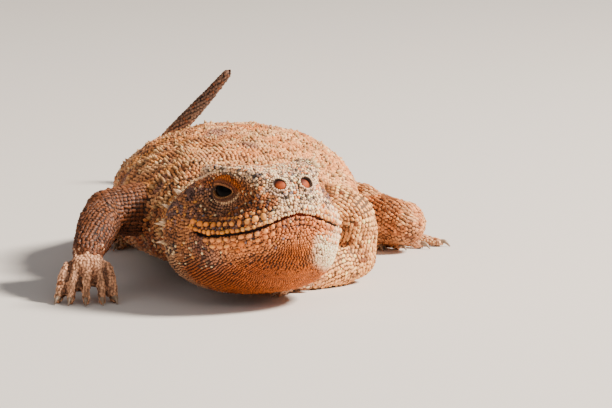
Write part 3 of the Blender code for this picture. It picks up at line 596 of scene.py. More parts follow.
def refine_head(skin):
    """Smaller faces round the eyes, nostrils and mouth."""
    for reach in (1.0, 0.6):
        mesh = bmesh.new()
        mesh.from_mesh(skin.data)
        local = to_head(np.array([face.calc_center_median() for face in mesh.faces]) / MM - SHIFT)
        side = mirrored(local)
        near = np.linalg.norm(side - np.array(NOSTRIL_AT), axis=1) < 3.2 * reach
        line = np.abs(local[:, 2] - mouth_height(local)) < 1.0 * reach
        near |= line & (local[:, 0] > MOUTH_CORNER - 1.0) & (side[:, 1] < 17)
        near |= (reach == 1.0) & (np.linalg.norm(side - np.array(EYE_AT), axis=1) < 6.0)
        mesh.faces.ensure_lookup_table()
        edges = {edge for i in np.nonzero(near)[0] for edge in mesh.faces[i].edges}
        bmesh.ops.subdivide_edges(mesh, edges=list(edges), cuts=1, use_grid_fill=True)
        bmesh.ops.triangulate(mesh, faces=[face for face in mesh.faces if len(face.verts) > 4])
        mesh.to_mesh(skin.data)
        mesh.free()


def detail_skin(skin):
    """Eye sockets, nostrils, the mouth's groove, and the folds and lumps of the hide."""
    mesh = skin.data
    local = sink_sockets(to_head(body_points(mesh)))
    set_coordinates(mesh, to_world(from_head(local)))
    points, normals = body_points(mesh), vertex_normals(mesh)
    push = hide_relief(points, local) + nostril_relief(local)
    in_mouth = ramp(local[:, 0], MOUTH_CORNER - 0.4, MOUTH_CORNER + 0.8) * (local[:, 0] < 13)
    push -= 0.8 * in_mouth * bell(local[:, 2] - mouth_height(local), 0.28)
    push -= 1.0 * finger_furrows(points)
    placed = to_world(points + normals * push[:, None])
    placed[:, 2] = np.maximum(placed[:, 2], 0.0)
    set_coordinates(mesh, placed)


def finger_furrows(points):
    """1 between the fingers of the hands, and less in the furrows behind their roots."""
    depth = np.zeros(len(points))
    up = np.array([0.0, 0.0, 1.0])
    for side in ("right", "left"):
        _, _, plans = extremity_plan("hand", side)
        for one, two in zip(plans, plans[1:]):
            root, middle, tip = ((one[k] + two[k]) / 2 for k in range(3))
            back = root - (one[3] + two[3]) * 0.4
            behind = run_distance(points, back + up, root + up * 0.8)
            between = run_distance(points, root + up * 0.8, middle + up * 0.6)
            beyond = run_distance(points, middle + up * 0.6, tip)
            near = np.minimum(between, beyond)
            depth = np.maximum(depth, np.maximum(0.4 * bell(behind, 0.7), bell(near, 0.75)))
    return depth


def nostril_parts(local):
    """Distance from the nostril's axis and height along the cup below it, on the near side."""
    side = mirrored(local)
    away = side - np.array(NOSTRIL_AT)
    facing = unit(np.array(NOSTRIL_FACING))
    flat = away - (away @ facing)[:, None] * facing
    return np.linalg.norm(flat, axis=1), flat[:, 2], np.linalg.norm(away, axis=1)


def nostril_relief(local):
    across, up, away = nostril_parts(local)
    near = away < 4.0
    pit = -1.1 * (1 - ramp(across, NOSTRIL_RADIUS * 0.8, NOSTRIL_RADIUS * 1.26))
    rim = 0.34 * bell(across - 1.25, 0.3)
    cup = 0.28 * bell(across - 2.0, 0.35) * ramp(-up, 0.2, 1.4)
    groove = -0.3 * bell(across - 1.65, 0.2) * ramp(-up, -0.2, 1.0)
    return near * (pit + rim + cup + groove)


def noise_at(points, size, seed=0.0):
    scaled = points / size + seed
    return np.array([noise.noise(Vector(p)) for p in scaled])


def hide_relief(points, local):
    """Lumps on the back and folds on the neck and flanks."""
    x, y, z = points.T
    trunk = ramp(y, -6.0, 4.0) * (1 - ramp(y, 66.0, 80.0)) * ramp(z, 4.0, 8.0)
    lumps = noise_at(points, 5.5, 3.1) * 0.5 + noise_at(points, 2.6, 8.7) * 0.22 - 0.2
    neck = bell(y + 3.5, 4.5) * ramp(-local[:, 0], 9.0, 13.0) * (1 - ramp(np.abs(x), 15.0, 18.0))
    folds = np.sin((y + 0.35 * np.abs(x)) * 1.5 + 2.0 * noise_at(points, 6.0, 1.0)) * 0.5
    flank = bell(z - 8.0, 4.5) * ramp(np.abs(x), 12.0, 18.0) * ramp(y, 12.0, 18.0)
    flank *= 1 - ramp(y, 50.0, 60.0)
    flank_folds = np.sin(y * 0.9 + z * 0.35 + 2.5 * noise_at(points, 9.0, 5.0)) * 0.35
    eye, around = eye_rings(local)
    return trunk * lumps + neck * folds + flank * flank_folds + 0.12 * around * np.cos(eye)


def eye_rings(local):
    """The curved folds in front of and below the eyes: a phase that grows outward, and how deep."""
    side = mirrored(local)
    away = side - np.array([EYE_AT[0] + 1.2, 9.6, EYE_AT[2]])
    distance = np.linalg.norm(away * np.array([0.9, 1.0, 1.1]), axis=1)
    where = ramp(distance, 3.4, 4.2) * (1 - ramp(distance, 7.2, 8.6))
    ahead = ramp(side[:, 0], 1.0, 3.5) + 0.8 * ramp(-side[:, 2], 0.5, 2.5)
    clear = ramp(side[:, 2] - mouth_height(side), 3.4, 4.4) * ramp(side[:, 0], -6.0, -3.0)
    clear = clear * (1 - ramp(side[:, 2], 1.8, 3.0))
    return distance * 2 * np.pi / EYE_FOLD, where * np.clip(ahead, 0.0, 1.0) * clear


EYE_FOLD = 1.05


# Eyes. The place round an eye is told in degrees from the way it looks: towards the front
# corner of the lids (a) and upwards (b).


def eye_axes(side):
    """The way the eye looks, the way to its front corner and the way up, tilted."""
    turn = math.radians(EYE_FORWARD_TURN)
    look = unit(np.array([math.sin(turn), side * math.cos(turn), 0.12]))
    ahead = unit(np.array([1.0, 0.0, 0.0]) - look * look[0])
    up = np.cross(look, ahead)
    up = up if up[2] > 0 else -up
    tilt = math.radians(EYE_TILT)
    front = ahead * math.cos(tilt) - up * math.sin(tilt)
    return look, front, up * math.cos(tilt) + ahead * math.sin(tilt)


def eye_centre(side):
    return np.array((EYE_AT[0], side * EYE_AT[1], EYE_AT[2]))


def eye_angles(local, side):
    """The distance from the eye's centre and the angles a and b, in degrees."""
    look, front, up = eye_axes(side)
    away = local - eye_centre(side)
    distance = np.linalg.norm(away, axis=-1)
    ahead, along, rise = away @ look, away @ front, away @ up
    flat = np.hypot(along, rise)
    turn = np.degrees(np.arctan2(flat, ahead))
    return distance, turn * along / (flat + 1e-9), turn * rise / (flat + 1e-9)


def orbit_share(local, side):
    """0 at the middle of the eye, 1 where the lids meet the hide, more beyond."""
    distance, a, b = eye_angles(local, side)
    return distance, np.hypot(a / ORBIT_HALF[0], b / ORBIT_HALF[1])


def sink_sockets(local):
    """Draws the hide in behind the lids."""
    for side in (1, -1):
        distance, share = orbit_share(local, side)
        sink = (1 - ramp(share, 0.84, 1.12)) * (distance < 9.0)
        wanted = distance + (np.minimum(distance, SOCKET_RADIUS) - distance) * sink
        centre = eye_centre(side)
        local = centre + (local - centre) * (wanted / np.maximum(distance, 1e-6))[:, None]
    return local


skin = remeshed_skin()
refine_head(skin)
detail_skin(skin)
TREE = BVHTree.FromPolygons(
    [Vector(p) for p in body_points(skin.data)],
    [tuple(face.vertices) for face in skin.data.polygons],
)


def on_skin(points, most=1.2):
    """The nearest places on the skin, their normals, and which of the points lie near it."""
    places = np.empty_like(points)
    normals = np.empty_like(points)
    close = np.zeros(len(points), bool)
    for n, point in enumerate(points):
        place, normal, _, distance = TREE.find_nearest(Vector(point), most)
        if place is None:
            continue
        places[n], normals[n], close[n] = place, normal, True
    return places, normals, close


# Colours


def tone(red, green, blue):
    """A colour as the eye reads it, 0 to 255, made linear and deepened for the soft light."""
    value = np.array([red, green, blue]) / 255.0
    value = np.where(value <= 0.04045, value / 12.92, ((value + 0.055) / 1.055) ** 2.4)
    grey = value.mean()
    return np.clip(grey * (value / grey) ** DEEPER * YELLOWER, 0.0, 1.0)


DEEPER = 1.3
YELLOWER = np.array((0.99, 0.99, 0.85))
SAND = tone(222, 170, 134)
TAN = tone(188, 132, 92)
BROWN = tone(118, 74, 48)
DARK_BROWN = tone(72, 46, 34)
CREAM = tone(240, 210, 176)
SLATE = tone(98, 90, 100)
BLACK = tone(38, 32, 36)
ORANGE = tone(196, 122, 62)
DEEP_ORANGE = tone(164, 96, 26)
WHITISH = tone(242, 210, 186)
YELLOW_TAN = tone(200, 142, 72)
PALE_ORANGE = tone(214, 152, 104)
BELLY = tone(236, 218, 192)
PINKISH = tone(222, 176, 150)
PLUM = tone(86, 62, 62)
UMBER = tone(124, 86, 64)
# The nostril flap's own orange, bright as a painted glow.
NOSTRIL_ORANGE_GLOW = tone(136, 68, 14)
# Painted shade inside the nostrils and under their upper rims.
NOSTRIL_SHADE = tone(70, 30, 16)
GUM = tone(132, 56, 30)


def mix(a, b, share):
    share = np.clip(np.asarray(share), 0.0, 1.0)[..., None]
    return a * (1 - share) + b * share


def head_colours(points, local):
    """The colour of the head's hide, with painted shade and light on it."""
    hx, hy, hz = local.T
    side = mirrored(local)
    out = side[:, 1]
    middle, small = noise_at(points, 4.0, 7.0), noise_at(points, 1.3, 11.0)
    off_line = hz - mouth_height(local)
    # Painted shade on the head's right side: less whitish on the snout there, and the orange before the eye
    # reaches further forward.
    shaded_side = ramp(0.8 * small - hy, 2.4, 4.6)
    front = ramp(hx + 0.6 * small, 6.5, 9.0) * (1 - ramp(out, 6.0, 10.0))
    front = front * (1 - shaded_side * ramp(off_line, 1.6, 2.6))
    ground = mix(np.tile(TAN, (len(points), 1)), BROWN, 0.5 + 0.9 * middle)
    lore = ramp(hx, 1.5, 4.0) * ramp(off_line, 2.0, 3.2) * (1 - ramp(hx - 3.0 * shaded_side, 8.0, 9.5))
    lore = lore * (1 - ramp(off_line + 0.75 * (hx - 6.0) + 0.8 * small, 6.2, 7.6))
    ground = mix(ground, DEEP_ORANGE, 0.75 * lore)
    ground = mix(ground, DARK_BROWN, 0.6 * lore * ramp(middle + small, 0.0, 0.4))
    cheek = (1 - ramp(hx, -0.5, 3.5)) * ramp(off_line, 1.6, 3.2)
    ground = mix(ground, UMBER, 0.75 * cheek)
    ground = mix(ground, SLATE, 0.5 * cheek * ramp(middle + small, -0.05, 0.4))
    ground = mix(ground, DARK_BROWN, 0.4 * cheek * ramp(small, 0.05, 0.3))
    ground = mix(ground, TAN, 0.5 * cheek * ramp(-small + 0.5 * middle, 0.1, 0.3))
    lift = hz + 0.8 * small - np.interp(hx, *CROWN_EDGE)
    crown = ramp(lift, -0.6, 0.8)
    top = mix(np.tile(WHITISH, (len(points), 1)), PALE_ORANGE, 0.25 + 1.2 * small)
    top = mix(top, SLATE, 0.35 * ramp(middle - small, 0.2, 0.5))
    ground = mix(ground, top, 0.92 * crown)
    ground = mix(ground, WHITISH, 0.85 * front * ramp(off_line, -1.0, 0.5))
    # Painted shade under the brow: deep orange between the crown's pale edge and the eye.
    brow_shade = bell(hx - 0.2, 5.0) * ramp(hz, 0.4, 1.5) * (1 - ramp(lift, -0.7, 0.3))
    ground = mix(ground, DEEP_ORANGE, 0.9 * brow_shade)
    # Painted shade in the gaps between the lip scales: the skin along the lips, behind the whitish front, is
    # dark brown.
    lip = ramp(hx, MOUTH_CORNER - 1.0, MOUTH_CORNER + 1.5) * (1 - front)
    ground = mix(ground, DARK_BROWN, 0.9 * lip * bell(off_line - 1.4, 2.2))
    lower_lip = tone(196, 132, 88)
    ground = mix(ground, lower_lip, 0.75 * ramp(hx, 0.5, 3.0) * bell(off_line + 2.8, 2.6))
    ground = mix(ground, tone(170, 108, 70), 0.75 * front * bell(off_line + 2.0, 2.2))
    below = ramp(-off_line, 3.8, 7.5)
    ground = mix(ground, DEEP_ORANGE, 0.8 * below * ramp(hx + small, -7.0, 0.5))
    # Painted shade: the throat darker towards the head's right side.
    ground = mix(ground, tone(118, 62, 20), 0.7 * below * (1 - ramp(hy, -7.0, 2.0)))
    back_jaw = (1 - ramp(hx, -4.0, -1.0)) * ramp(-off_line, -1.5, 1.0)
    ground = mix(ground, tone(112, 76, 54), 0.7 * back_jaw * (1 - below))
    edge = (1 - ramp(hx + small, -6.5, -4.5)) * ramp(-off_line, 1.0, 3.0)
    ground = mix(ground, tone(156, 128, 108), 0.6 * edge)
    patch = np.linalg.norm(side - np.array([-1.4, 14.2, -9.6]), axis=1)
    ground = mix(ground, PLUM, 0.75 * bell(patch, 1.7))
    patch = np.linalg.norm(side - np.array([1.4, 13.2, -12.0]), axis=1)
    ground = mix(ground, SLATE, 0.4 * bell(patch, 2.6))
    # The far brow: cream on its top, and below its edge a grey band that is painted shadow under the brow.
    far_brow = ramp(hy, 6.5, 8.0) * bell(hx - 3.6, 3.4)
    ground = mix(ground, CREAM, 0.7 * far_brow * bell(hz - 3.2, 1.6))
    ground = mix(ground, tone(104, 92, 96), 0.7 * far_brow * bell(hz - 0.9, 0.9))
    # Dark streaks in the curved folds round the eye, lying mostly in the grooves: partly streak markings,
    # partly painted shade in the grooves.
    phase, folded = eye_rings(local)
    groove_shade_streaks = 0.5 - 0.5 * np.cos(phase + 1.6 * small)
    ground = mix(ground, DARK_BROWN, 0.75 * folded * groove_shade_streaks * (1 - 0.6 * crown))
    # Whitish jowl on the head's left side only: its pale colour, with painted sunlight on that side.
    low = ramp(-off_line, 1.2, 3.0)
    pale_lit_jowl = ramp(hy + 1.4 * small + 3.8 * low, 6.5, 9.2) * ramp(hx, -3.0, 1.0)
    pale_lit_jowl = pale_lit_jowl * (1 - ramp(-off_line, 7.0, 9.0))
    return mix(ground, WHITISH, 0.95 * pale_lit_jowl)


CROWN_EDGE = ((-13.0, -1.0, 2.0, 5.0, 7.0, 9.5), (2.9, 2.8, 2.3, 1.5, 0.5, -1.2))


def nostril_colours(ground, local):
    across, up, away = nostril_parts(local)
    near = away < 3.5
    cup = near * 0.6 * bell(across - 1.7, 0.9) * ramp(-up, -0.3, 0.8)
    ground = mix(ground, tone(190, 164, 156), cup)
    # Painted shade along the nostril's upper rim and in its pit.
    ground = mix(ground, NOSTRIL_SHADE, near * bell(across - 1.0, 0.4) * ramp(up, -0.9, 0.3))
    inside = near * (1 - ramp(across, 0.7, 1.0))
    return mix(ground, NOSTRIL_SHADE, inside), inside


def body_colours(points, part):
    """The colour of the hide of the trunk, limbs and tail, with painted shade and light on it."""
    x, y, z = points.T
    large = noise_at(points, 9.0, 2.0)
    middle = noise_at(points, 4.0, 7.0)
    small = noise_at(points, 1.6, 11.0)
    colour = mix(np.tile(SAND, (len(points), 1)), TAN, 0.55 + 0.9 * large)
    colour = mix(colour, BROWN, 0.8 * ramp(middle + 0.4 * small, 0.06, 0.4))
    colour = mix(colour, ORANGE, 0.5 * ramp(noise_at(points, 6.0, 41.0), 0.0, 0.35))
    colour = mix(colour, CREAM, 0.5 * ramp(-middle + 0.5 * small, 0.2, 0.42))
    colour = mix(colour, PALE_ORANGE, 0.5 * bell(y - 10.0, 18.0) * ramp(z, 12.0, 19.0))
    blue = ramp(noise_at(points, 6.5, 21.0), 0.18, 0.4) * ramp(z, 8.0, 15.0)
    colour = mix(colour, SLATE, 0.5 * blue * (1 - ramp(x, 4.0, 12.0)))
    blotch = noise_at(points, 3.4, 51.0)
    near = ramp(-x, 3.0, 10.0) * (1 - ramp(y, 30.0, 60.0))
    colour = mix(colour, DARK_BROWN, 0.42 * near * ramp(blotch, 0.08, 0.3))
    colour = mix(colour, YELLOW_TAN, 0.5 * near * ramp(-blotch, 0.05, 0.3) * ramp(z, 8.0, 13.0))
    far = ramp(x, 3.0, 12.0) * ramp(z, 8.0, 14.0) * (1 - ramp(y, 24.0, 44.0))
    colour = mix(colour, PALE_ORANGE, 0.4 * far)
    # Brown mottles in a band just behind the head: partly markings, partly painted shade where the head shades
    # the neck.
    neck_mottles_and_shade = bell(y + 4.0, 9.0) * ramp(middle + small, -0.3, 0.2)
    colour = mix(colour, BROWN, 0.15 * neck_mottles_and_shade)
    low = (1 - ramp(z, 2.5, 8.0)) * ramp(y, 2.0, 8.0) * (1 - ramp(y, 74.0, 90.0))
    colour = mix(colour, BELLY, 0.85 * low * (np.abs(x) < 20))
    # Painted shadow of the head on the right side of the neck and chest, low down.
    shaded_chest = ramp(-x, 3.0, 8.0) * (1 - ramp(z, 10.0, 15.0)) * (1 - ramp(y, 24.0, 44.0))
    colour = mix(colour, tone(140, 80, 44), 0.65 * shaded_chest)
    if part == "limb":
        colour = mix(colour, PALE_ORANGE, 0.35)
        fore = 1 - ramp(y, 12.0, 30.0)
        # Painted shade on the right foreleg and painted sunlight on the left foreleg.
        colour = mix(colour, tone(80, 47, 29), 0.92 * ramp(-x, 12.0, 18.0) * fore)
        colour = mix(colour, tone(250, 186, 138), 0.65 * ramp(x, 12.0, 18.0) * fore)
        colour = mix(colour, BROWN, 0.3 * (1 - fore))
    if part == "digit":
        colour = mix(colour, PINKISH, 0.8)
        # Painted shade in the furrows between the fingers.
        colour = mix(colour, DARK_BROWN, 0.75 * finger_furrows(points))
    if part == "tail":
        bars = np.sin(y * 0.62 + 1.5 * large)
        colour = mix(colour, BROWN, 0.6 * ramp(bars, 0.2, 0.9) * ramp(z, 2.5, 4.5))
        colour = mix(colour, CREAM, 0.6 * (1 - ramp(z, 1.2, 2.6)) * (1 - ramp(y, 128.0, 138.0)))
        dark_end = ramp(z, 6.0, 17.0) * ramp(y, 128.0, 140.0)
        colour = mix(colour, tone(104, 80, 70), 0.95 * dark_end)
    return colour


def hide_colours(points, part="body"):
    """The hide's colour, with its painted shade and light, at points of the animal's own frame."""
    colour = body_colours(points, part)
    if part != "body":
        return colour
    local = to_head(points)
    head = ramp(local[:, 0], HEAD_BACK - 2.0, HEAD_BACK + 2.0)
    return mix(colour, head_colours(points, local), head)


# Materials


def hide_material(name, roughness, grain, strength):
    """The hide: its colour comes from the markings with their painted shade and light, broken up by fine grain.
    """
    material = bpy.data.materials.new(name)
    material.use_nodes = True
    nodes, links = material.node_tree.nodes, material.node_tree.links
    shader = nodes["Principled BSDF"]
    marks_and_shade = nodes.new("ShaderNodeAttribute")
    marks_and_shade.attribute_name = "hide"
    place = nodes.new("ShaderNodeTexCoord")
    fine = nodes.new("ShaderNodeTexNoise")
    fine.inputs["Scale"].default_value = grain
    fine.inputs["Detail"].default_value = 4.0
    links.new(place.outputs["Object"], fine.inputs["Vector"])
    spread = nodes.new("ShaderNodeMapRange")
    spread.inputs["From Min"].default_value = 0.3
    spread.inputs["From Max"].default_value = 0.7
    spread.inputs["To Min"].default_value = 0.8
    spread.inputs["To Max"].default_value = 1.16
    links.new(fine.outputs["Fac"], spread.inputs["Value"])
    tint = nodes.new("ShaderNodeVectorMath")
    tint.operation = "SCALE"
    links.new(marks_and_shade.outputs["Color"], tint.inputs[0])
    links.new(spread.outputs["Result"], tint.inputs["Scale"])
    links.new(tint.outputs["Vector"], shader.inputs["Base Color"])
    rough = nodes.new("ShaderNodeMapRange")
    rough.inputs["To Min"].default_value = roughness - 0.1
    rough.inputs["To Max"].default_value = roughness + 0.14
    links.new(fine.outputs["Fac"], rough.inputs["Value"])
    links.new(rough.outputs["Result"], shader.inputs["Roughness"])
    shader.inputs["Specular IOR Level"].default_value = 0.3
    bump = nodes.new("ShaderNodeBump")
    bump.inputs["Strength"].default_value = strength
    bump.inputs["Distance"].default_value = 0.0001
    links.new(fine.outputs["Fac"], bump.inputs["Height"])
    links.new(bump.outputs["Normal"], shader.inputs["Normal"])
    return material


def ramp_material(name, dark, pale, grain, roughness):
    """A hard, shiny part whose colour runs between two tones."""
    material = bpy.data.materials.new(name)
    material.use_nodes = True
    nodes, links = material.node_tree.nodes, material.node_tree.links
    shader = nodes["Principled BSDF"]
    place = nodes.new("ShaderNodeTexCoord")
    cells = nodes.new("ShaderNodeTexNoise")
    cells.inputs["Scale"].default_value = grain
    links.new(place.outputs["Object"], cells.inputs["Vector"])
    colours = nodes.new("ShaderNodeValToRGB")
    colours.color_ramp.elements[0].color = (*dark, 1.0)
    colours.color_ramp.elements[1].color = (*pale, 1.0)
    links.new(cells.outputs["Fac"], colours.inputs["Fac"])
    links.new(colours.outputs["Color"], shader.inputs["Base Color"])
    shader.inputs["Roughness"].default_value = roughness
    return material


def set_colours(mesh, colours):
    """Stores a linear colour for each vertex as the markings, painted shade and light included."""
    layer = mesh.color_attributes.new(name="hide", type="FLOAT_COLOR", domain="POINT")
    flat = np.ones((len(mesh.vertices), 4), np.float32)
    flat[:, :3] = colours
    layer.data.foreach_set("color", flat.ravel())


HIDE = hide_material("hide", 0.66, 2600.0, 0.25)
SCALE_HIDE = hide_material("scales", 0.55, 3200.0, 0.2)


def kind_of(name):
    words = name.split("_")
    if name in ("head", "neck", "torso"):
        return "body"
    if name == "tail":
        return "tail"
    return "digit" if words[-1].isdigit() or words[0] in ("hand", "foot") else "limb"


def part_of_points(points):
    """Which colouring each point of the skin takes, from the surface that it lies nearest."""
    samples, kinds = [], []
    for name, grid in SURFACES.items():
        sample = grid[::3, ::3].reshape(-1, 3)
        samples.append(sample)
        kinds += [kind_of(name)] * len(sample)
    tree = tree_of(np.concatenate(samples))
    return np.array([kinds[tree.find(point)[1]] for point in points])


def tree_of(points):
    tree = KDTree(len(points))
    for n, point in enumerate(points):
        tree.insert(point, n)
    tree.balance()
    return tree


def colour_skin():
    """Painted shade: the skin is darker than the scales, since it shows only between them."""
    points = body_points(skin.data)
    kinds = part_of_points(points)
    colours = np.zeros((len(points), 3))
    for kind in ("body", "tail", "limb", "digit"):
        chosen = kinds == kind
        colours[chosen] = hide_colours(points[chosen], kind)
    local = to_head(points)
    off_line = local[:, 2] - mouth_height(local)
    in_mouth = ramp(local[:, 0], MOUTH_CORNER - 0.3, MOUTH_CORNER + 0.6) * (local[:, 0] < 13)
    colours, inside = nostril_colours(colours, local)
    shade = np.where(kinds == "digit", DIGIT_SHADE, SKIN_SHADE)
    shade = shade + (1 - shade) * inside
    colours = colours * shade[:, None]
    # The mouth's groove: black at the sides as painted shade, the gum's red-brown at the front.
    front = bell(local[:, 1], 5.0)
    gap = mix(np.tile(BLACK, (len(points), 1)), GUM, front)
    colours = mix(colours, gap, in_mouth * bell(off_line, 0.26))
    set_colours(skin.data, colours)
    skin.data.materials.clear()
    skin.data.materials.append(HIDE)
    skin.data.shade_smooth()


# Painted shade on the skin between the scales, less of it between the digits' scales.
SKIN_SHADE = 0.14
DIGIT_SHADE = 0.45
colour_skin()


# Shapes of scales. Each is a small closed body: x runs along the lie to the scale's free edge,
# y sideways and z out. The last part of a shape is how pale each point is, from root to tip: the
# dark root is painted shade between the scales, and the pale tip partly painted highlight.


def dome(sides, profile, apex, square=2.0, lean=0.0):
    """A round or squarish scale from rings of (radius, height, paleness) and a top."""
    turns = 2 * np.pi * (np.arange(sides) + 0.5) / sides
    c, s = np.cos(turns), np.sin(turns)
    c = np.sign(c) * np.abs(c) ** (2 / square)
    s = np.sign(s) * np.abs(s) ** (2 / square)
    points, rise, faces = [], [], []
    for radius, height, pale in profile:
        points += [(radius * a + lean * max(height, 0.0), radius * b, height) for a, b in zip(c, s)]
        rise += [pale] * sides
    for n in range(len(profile) - 1):
        for i in range(sides):
            j = (i + 1) % sides
            faces.append([n * sides + i, n * sides + j, (n + 1) * sides + j, (n + 1) * sides + i])
    top, last = len(points), (len(profile) - 1) * sides
    points.append((lean * apex[0], 0.0, apex[0]))
    rise.append(apex[1])
    faces += [[last + i, last + (i + 1) % sides, top] for i in range(sides)]
    faces.append(list(range(sides))[::-1])
    return np.array(points), faces, np.array(rise)


GRANULE = dome(6, ((0.48, -0.35, 0.0), (0.46, 0.1, 0.36), (0.3, 0.5, 0.95)), (0.64, 1.06))
PEBBLE = dome(
    8,
    ((0.48, -0.5, 0.0), (0.47, 0.0, 0.2), (0.42, 0.4, 0.75), (0.25, 0.62, 1.0)),
    (0.7, 1.06),
    square=2.35,
)
CONE = dome(
    6,
    ((0.5, -0.35, 0.0), (0.44, 0.12, 0.3), (0.25, 0.55, 0.8)),
    (1.0, 1.1),
    lean=0.12,
)
BEAD = dome(5, ((0.48, -0.3, 0.0), (0.4, 0.28, 0.7)), (0.5, 1.0))
KEELED = (
    np.array(
        [
            (-0.52, 0.0, -0.3),
            (-0.18, 0.48, -0.3),
            (0.3, 0.36, -0.2),
            (0.66, 0.0, -0.05),
            (0.3, -0.36, -0.2),
            (-0.18, -0.48, -0.3),
            (-0.12, 0.38, 0.2),
            (0.28, 0.28, 0.3),
            (0.28, -0.28, 0.3),
            (-0.12, -0.38, 0.2),
            (-0.34, 0.0, 0.24),
            (0.12, 0.0, 0.62),
            (0.55, 0.0, 0.5),
        ]
    ),
    [
        [0, 1, 6, 10],
        [1, 2, 7, 6],
        [2, 3, 12, 7],
        [3, 4, 8, 12],
        [4, 5, 9, 8],
        [5, 0, 10, 9],
        [10, 6, 11],
        [6, 7, 11],
        [7, 12, 11],
        [12, 8, 11],
        [8, 9, 11],
        [9, 10, 11],
        [5, 4, 3, 2, 1, 0],
    ],
    np.array([0.0, 0.0, 0.1, 0.3, 0.1, 0.0, 0.55, 0.65, 0.65, 0.55, 0.6, 1.0, 1.0]),
)
FLAT_SHAPES = (id(KEELED),)
PIECE_LIMIT = 190000  # triangles in one piece


# Where the scales stand


def resample_ring(ring, count, offset):
    """Even places round a closed ring, and the share of the way round of each."""
    closed = np.concatenate([ring, ring[:1]])
    steps = np.linalg.norm(np.diff(closed, axis=0), axis=1)
    gone = np.concatenate([[0.0], np.cumsum(steps)])
    wanted = (np.arange(count) + offset) % count / count * gone[-1]
    points = np.stack([np.interp(wanted, gone, closed[:, k]) for k in range(3)], axis=1)
    return points, wanted / gone[-1]


def rows_on(name, spacing, draw, first=0.0, last=1.0, along_ratio=0.9, jitter=0.07):
    """Places in staggered rows over a surface: points, the way back along the lie, and (u, v)."""
    grid = SURFACES[name]
    steps = np.linalg.norm(np.diff(grid, axis=0), axis=2)
    gone = np.concatenate([[0.0], np.cumsum(np.percentile(steps, 60, axis=1))])
    places, lies, uvs = [], [], []
    s, row = first * gone[-1], 0
    while s < last * gone[-1]:
        index = np.interp(s, gone, np.arange(len(gone)))
        low = min(int(index), len(grid) - 2)
        ring = grid[low] * (1 - index + low) + grid[low + 1] * (index - low)
        onward = grid[low + 1] - grid[low]
        around = np.linalg.norm(np.roll(ring, -1, axis=0) - ring, axis=1).sum()
        count = max(5, round(around / spacing))
        points, us = resample_ring(ring, count, 0.5 * (row % 2) + 0.13 * row)
        if name == "head":
            columns, column_us = resample_ring(ring, THROAT_COLUMNS, 0.0)
            off, on = throat_share(points) < 0.5, throat_share(columns) >= 0.5
            points = np.concatenate([points[off], columns[on]])
            us = np.concatenate([us[off], column_us[on]])
            count = len(us)
        which = (us * grid.shape[1]).astype(int) % grid.shape[1]
        loose = 1 - 0.8 * throat_share(points) if name == "head" else np.ones(count)
        places.append(points + draw.normal(0.0, jitter * spacing, points.shape) * loose[:, None])
        lies.append(onward[which])
        uvs.append(np.stack([us, np.full(count, s / gone[-1])], axis=1))
        s += spacing * along_ratio
        row += 1
    return np.concatenate(places), np.concatenate(lies), np.concatenate(uvs)


THROAT_COLUMNS = 170
ATLAS = {}
ATLAS_SCALE = 0.0034
ATLAS_MARGIN = 0.006


def surface_size(name):
    """The length round a surface's widest ring and its length from end to end."""
    grid = SURFACES[name]
    wide = np.linalg.norm(np.roll(grid, -1, axis=1) - grid, axis=2).sum(axis=1).max()
    return wide, np.linalg.norm(np.diff(grid, axis=0), axis=2).sum(axis=0).mean()


def make_atlas():
    """A place on one square for each surface: left, bottom, width and height."""
    left = bottom = ATLAS_MARGIN
    tallest = 0.0
    for name in sorted(SURFACES, key=lambda each: -surface_size(each)[1]):
        wide, long = (size * ATLAS_SCALE for size in surface_size(name))
        if left + wide > 1.0 - ATLAS_MARGIN:
            left, bottom, tallest = ATLAS_MARGIN, bottom + tallest + ATLAS_MARGIN, 0.0
        ATLAS[name] = (left, bottom, wide, long)
        left += wide + ATLAS_MARGIN
        tallest = max(tallest, long)


make_atlas()


def atlas_place(name, uvs):
    left, bottom, wide, long = ATLAS[name]
    return np.stack([left + uvs[:, 0] * wide, bottom + uvs[:, 1] * long], axis=1)


def head_uvs(points):
    """Places on the square for points that were not laid out in rows."""
    local = to_head(points)
    around = np.arctan2(local[:, 2] + 7.0, local[:, 1]) / (2 * np.pi) % 1.0
    along = np.clip((local[:, 0] - HEAD_BACK) / (HEAD_FRONT - HEAD_BACK), 0.0, 1.0)
    return atlas_place("head", np.stack([around, along], axis=1))


class Field:
    """Scales that share a shape: places, normals, lies, sizes, colours and places on the square."""

    def __init__(self, spots, normals, lies, sizes, colours, uvs, tips=None):
        tips = colours * TIP_PALE_AND_LIT if tips is None else tips
        self.parts = [spots, normals, lies, sizes, colours, uvs, tips]

    def joined(self, *others):
        whole = Field(*self.parts)
        whole.parts = [np.concatenate(p) for p in zip(self.parts, *(o.parts for o in others))]
        return whole

    def chosen(self, mask):
        some = Field(*self.parts)
        some.parts = [part[mask] for part in self.parts]
        return some


# Painted light and shade on each scale: its tip paler, partly as painted highlight, and its root darker as
# painted shade.
TIP_PALE_AND_LIT = 1.24
ROOT_PAINTED_SHADE = {"head": 0.2, "trunk": 0.34, "tail": 0.34, "limb": 0.3}
PATCH = 0.003


def sow(name, field, shape, slot):
    """Pieces made of many copies of a small shape, each with its own size and colour."""
    triangles = sum(len(face) - 2 for face in shape[1])
    most = PIECE_LIMIT // triangles
    total = len(field.parts[0])
    shares = max(1, math.ceil(total / most))
    for n in range(shares):
        some = slice(n * total // shares, (n + 1) * total // shares)
        part_name = name if shares == 1 else f"{name}_{n + 1}"
        sow_piece(part_name, [part[some] for part in field.parts], shape, slot)


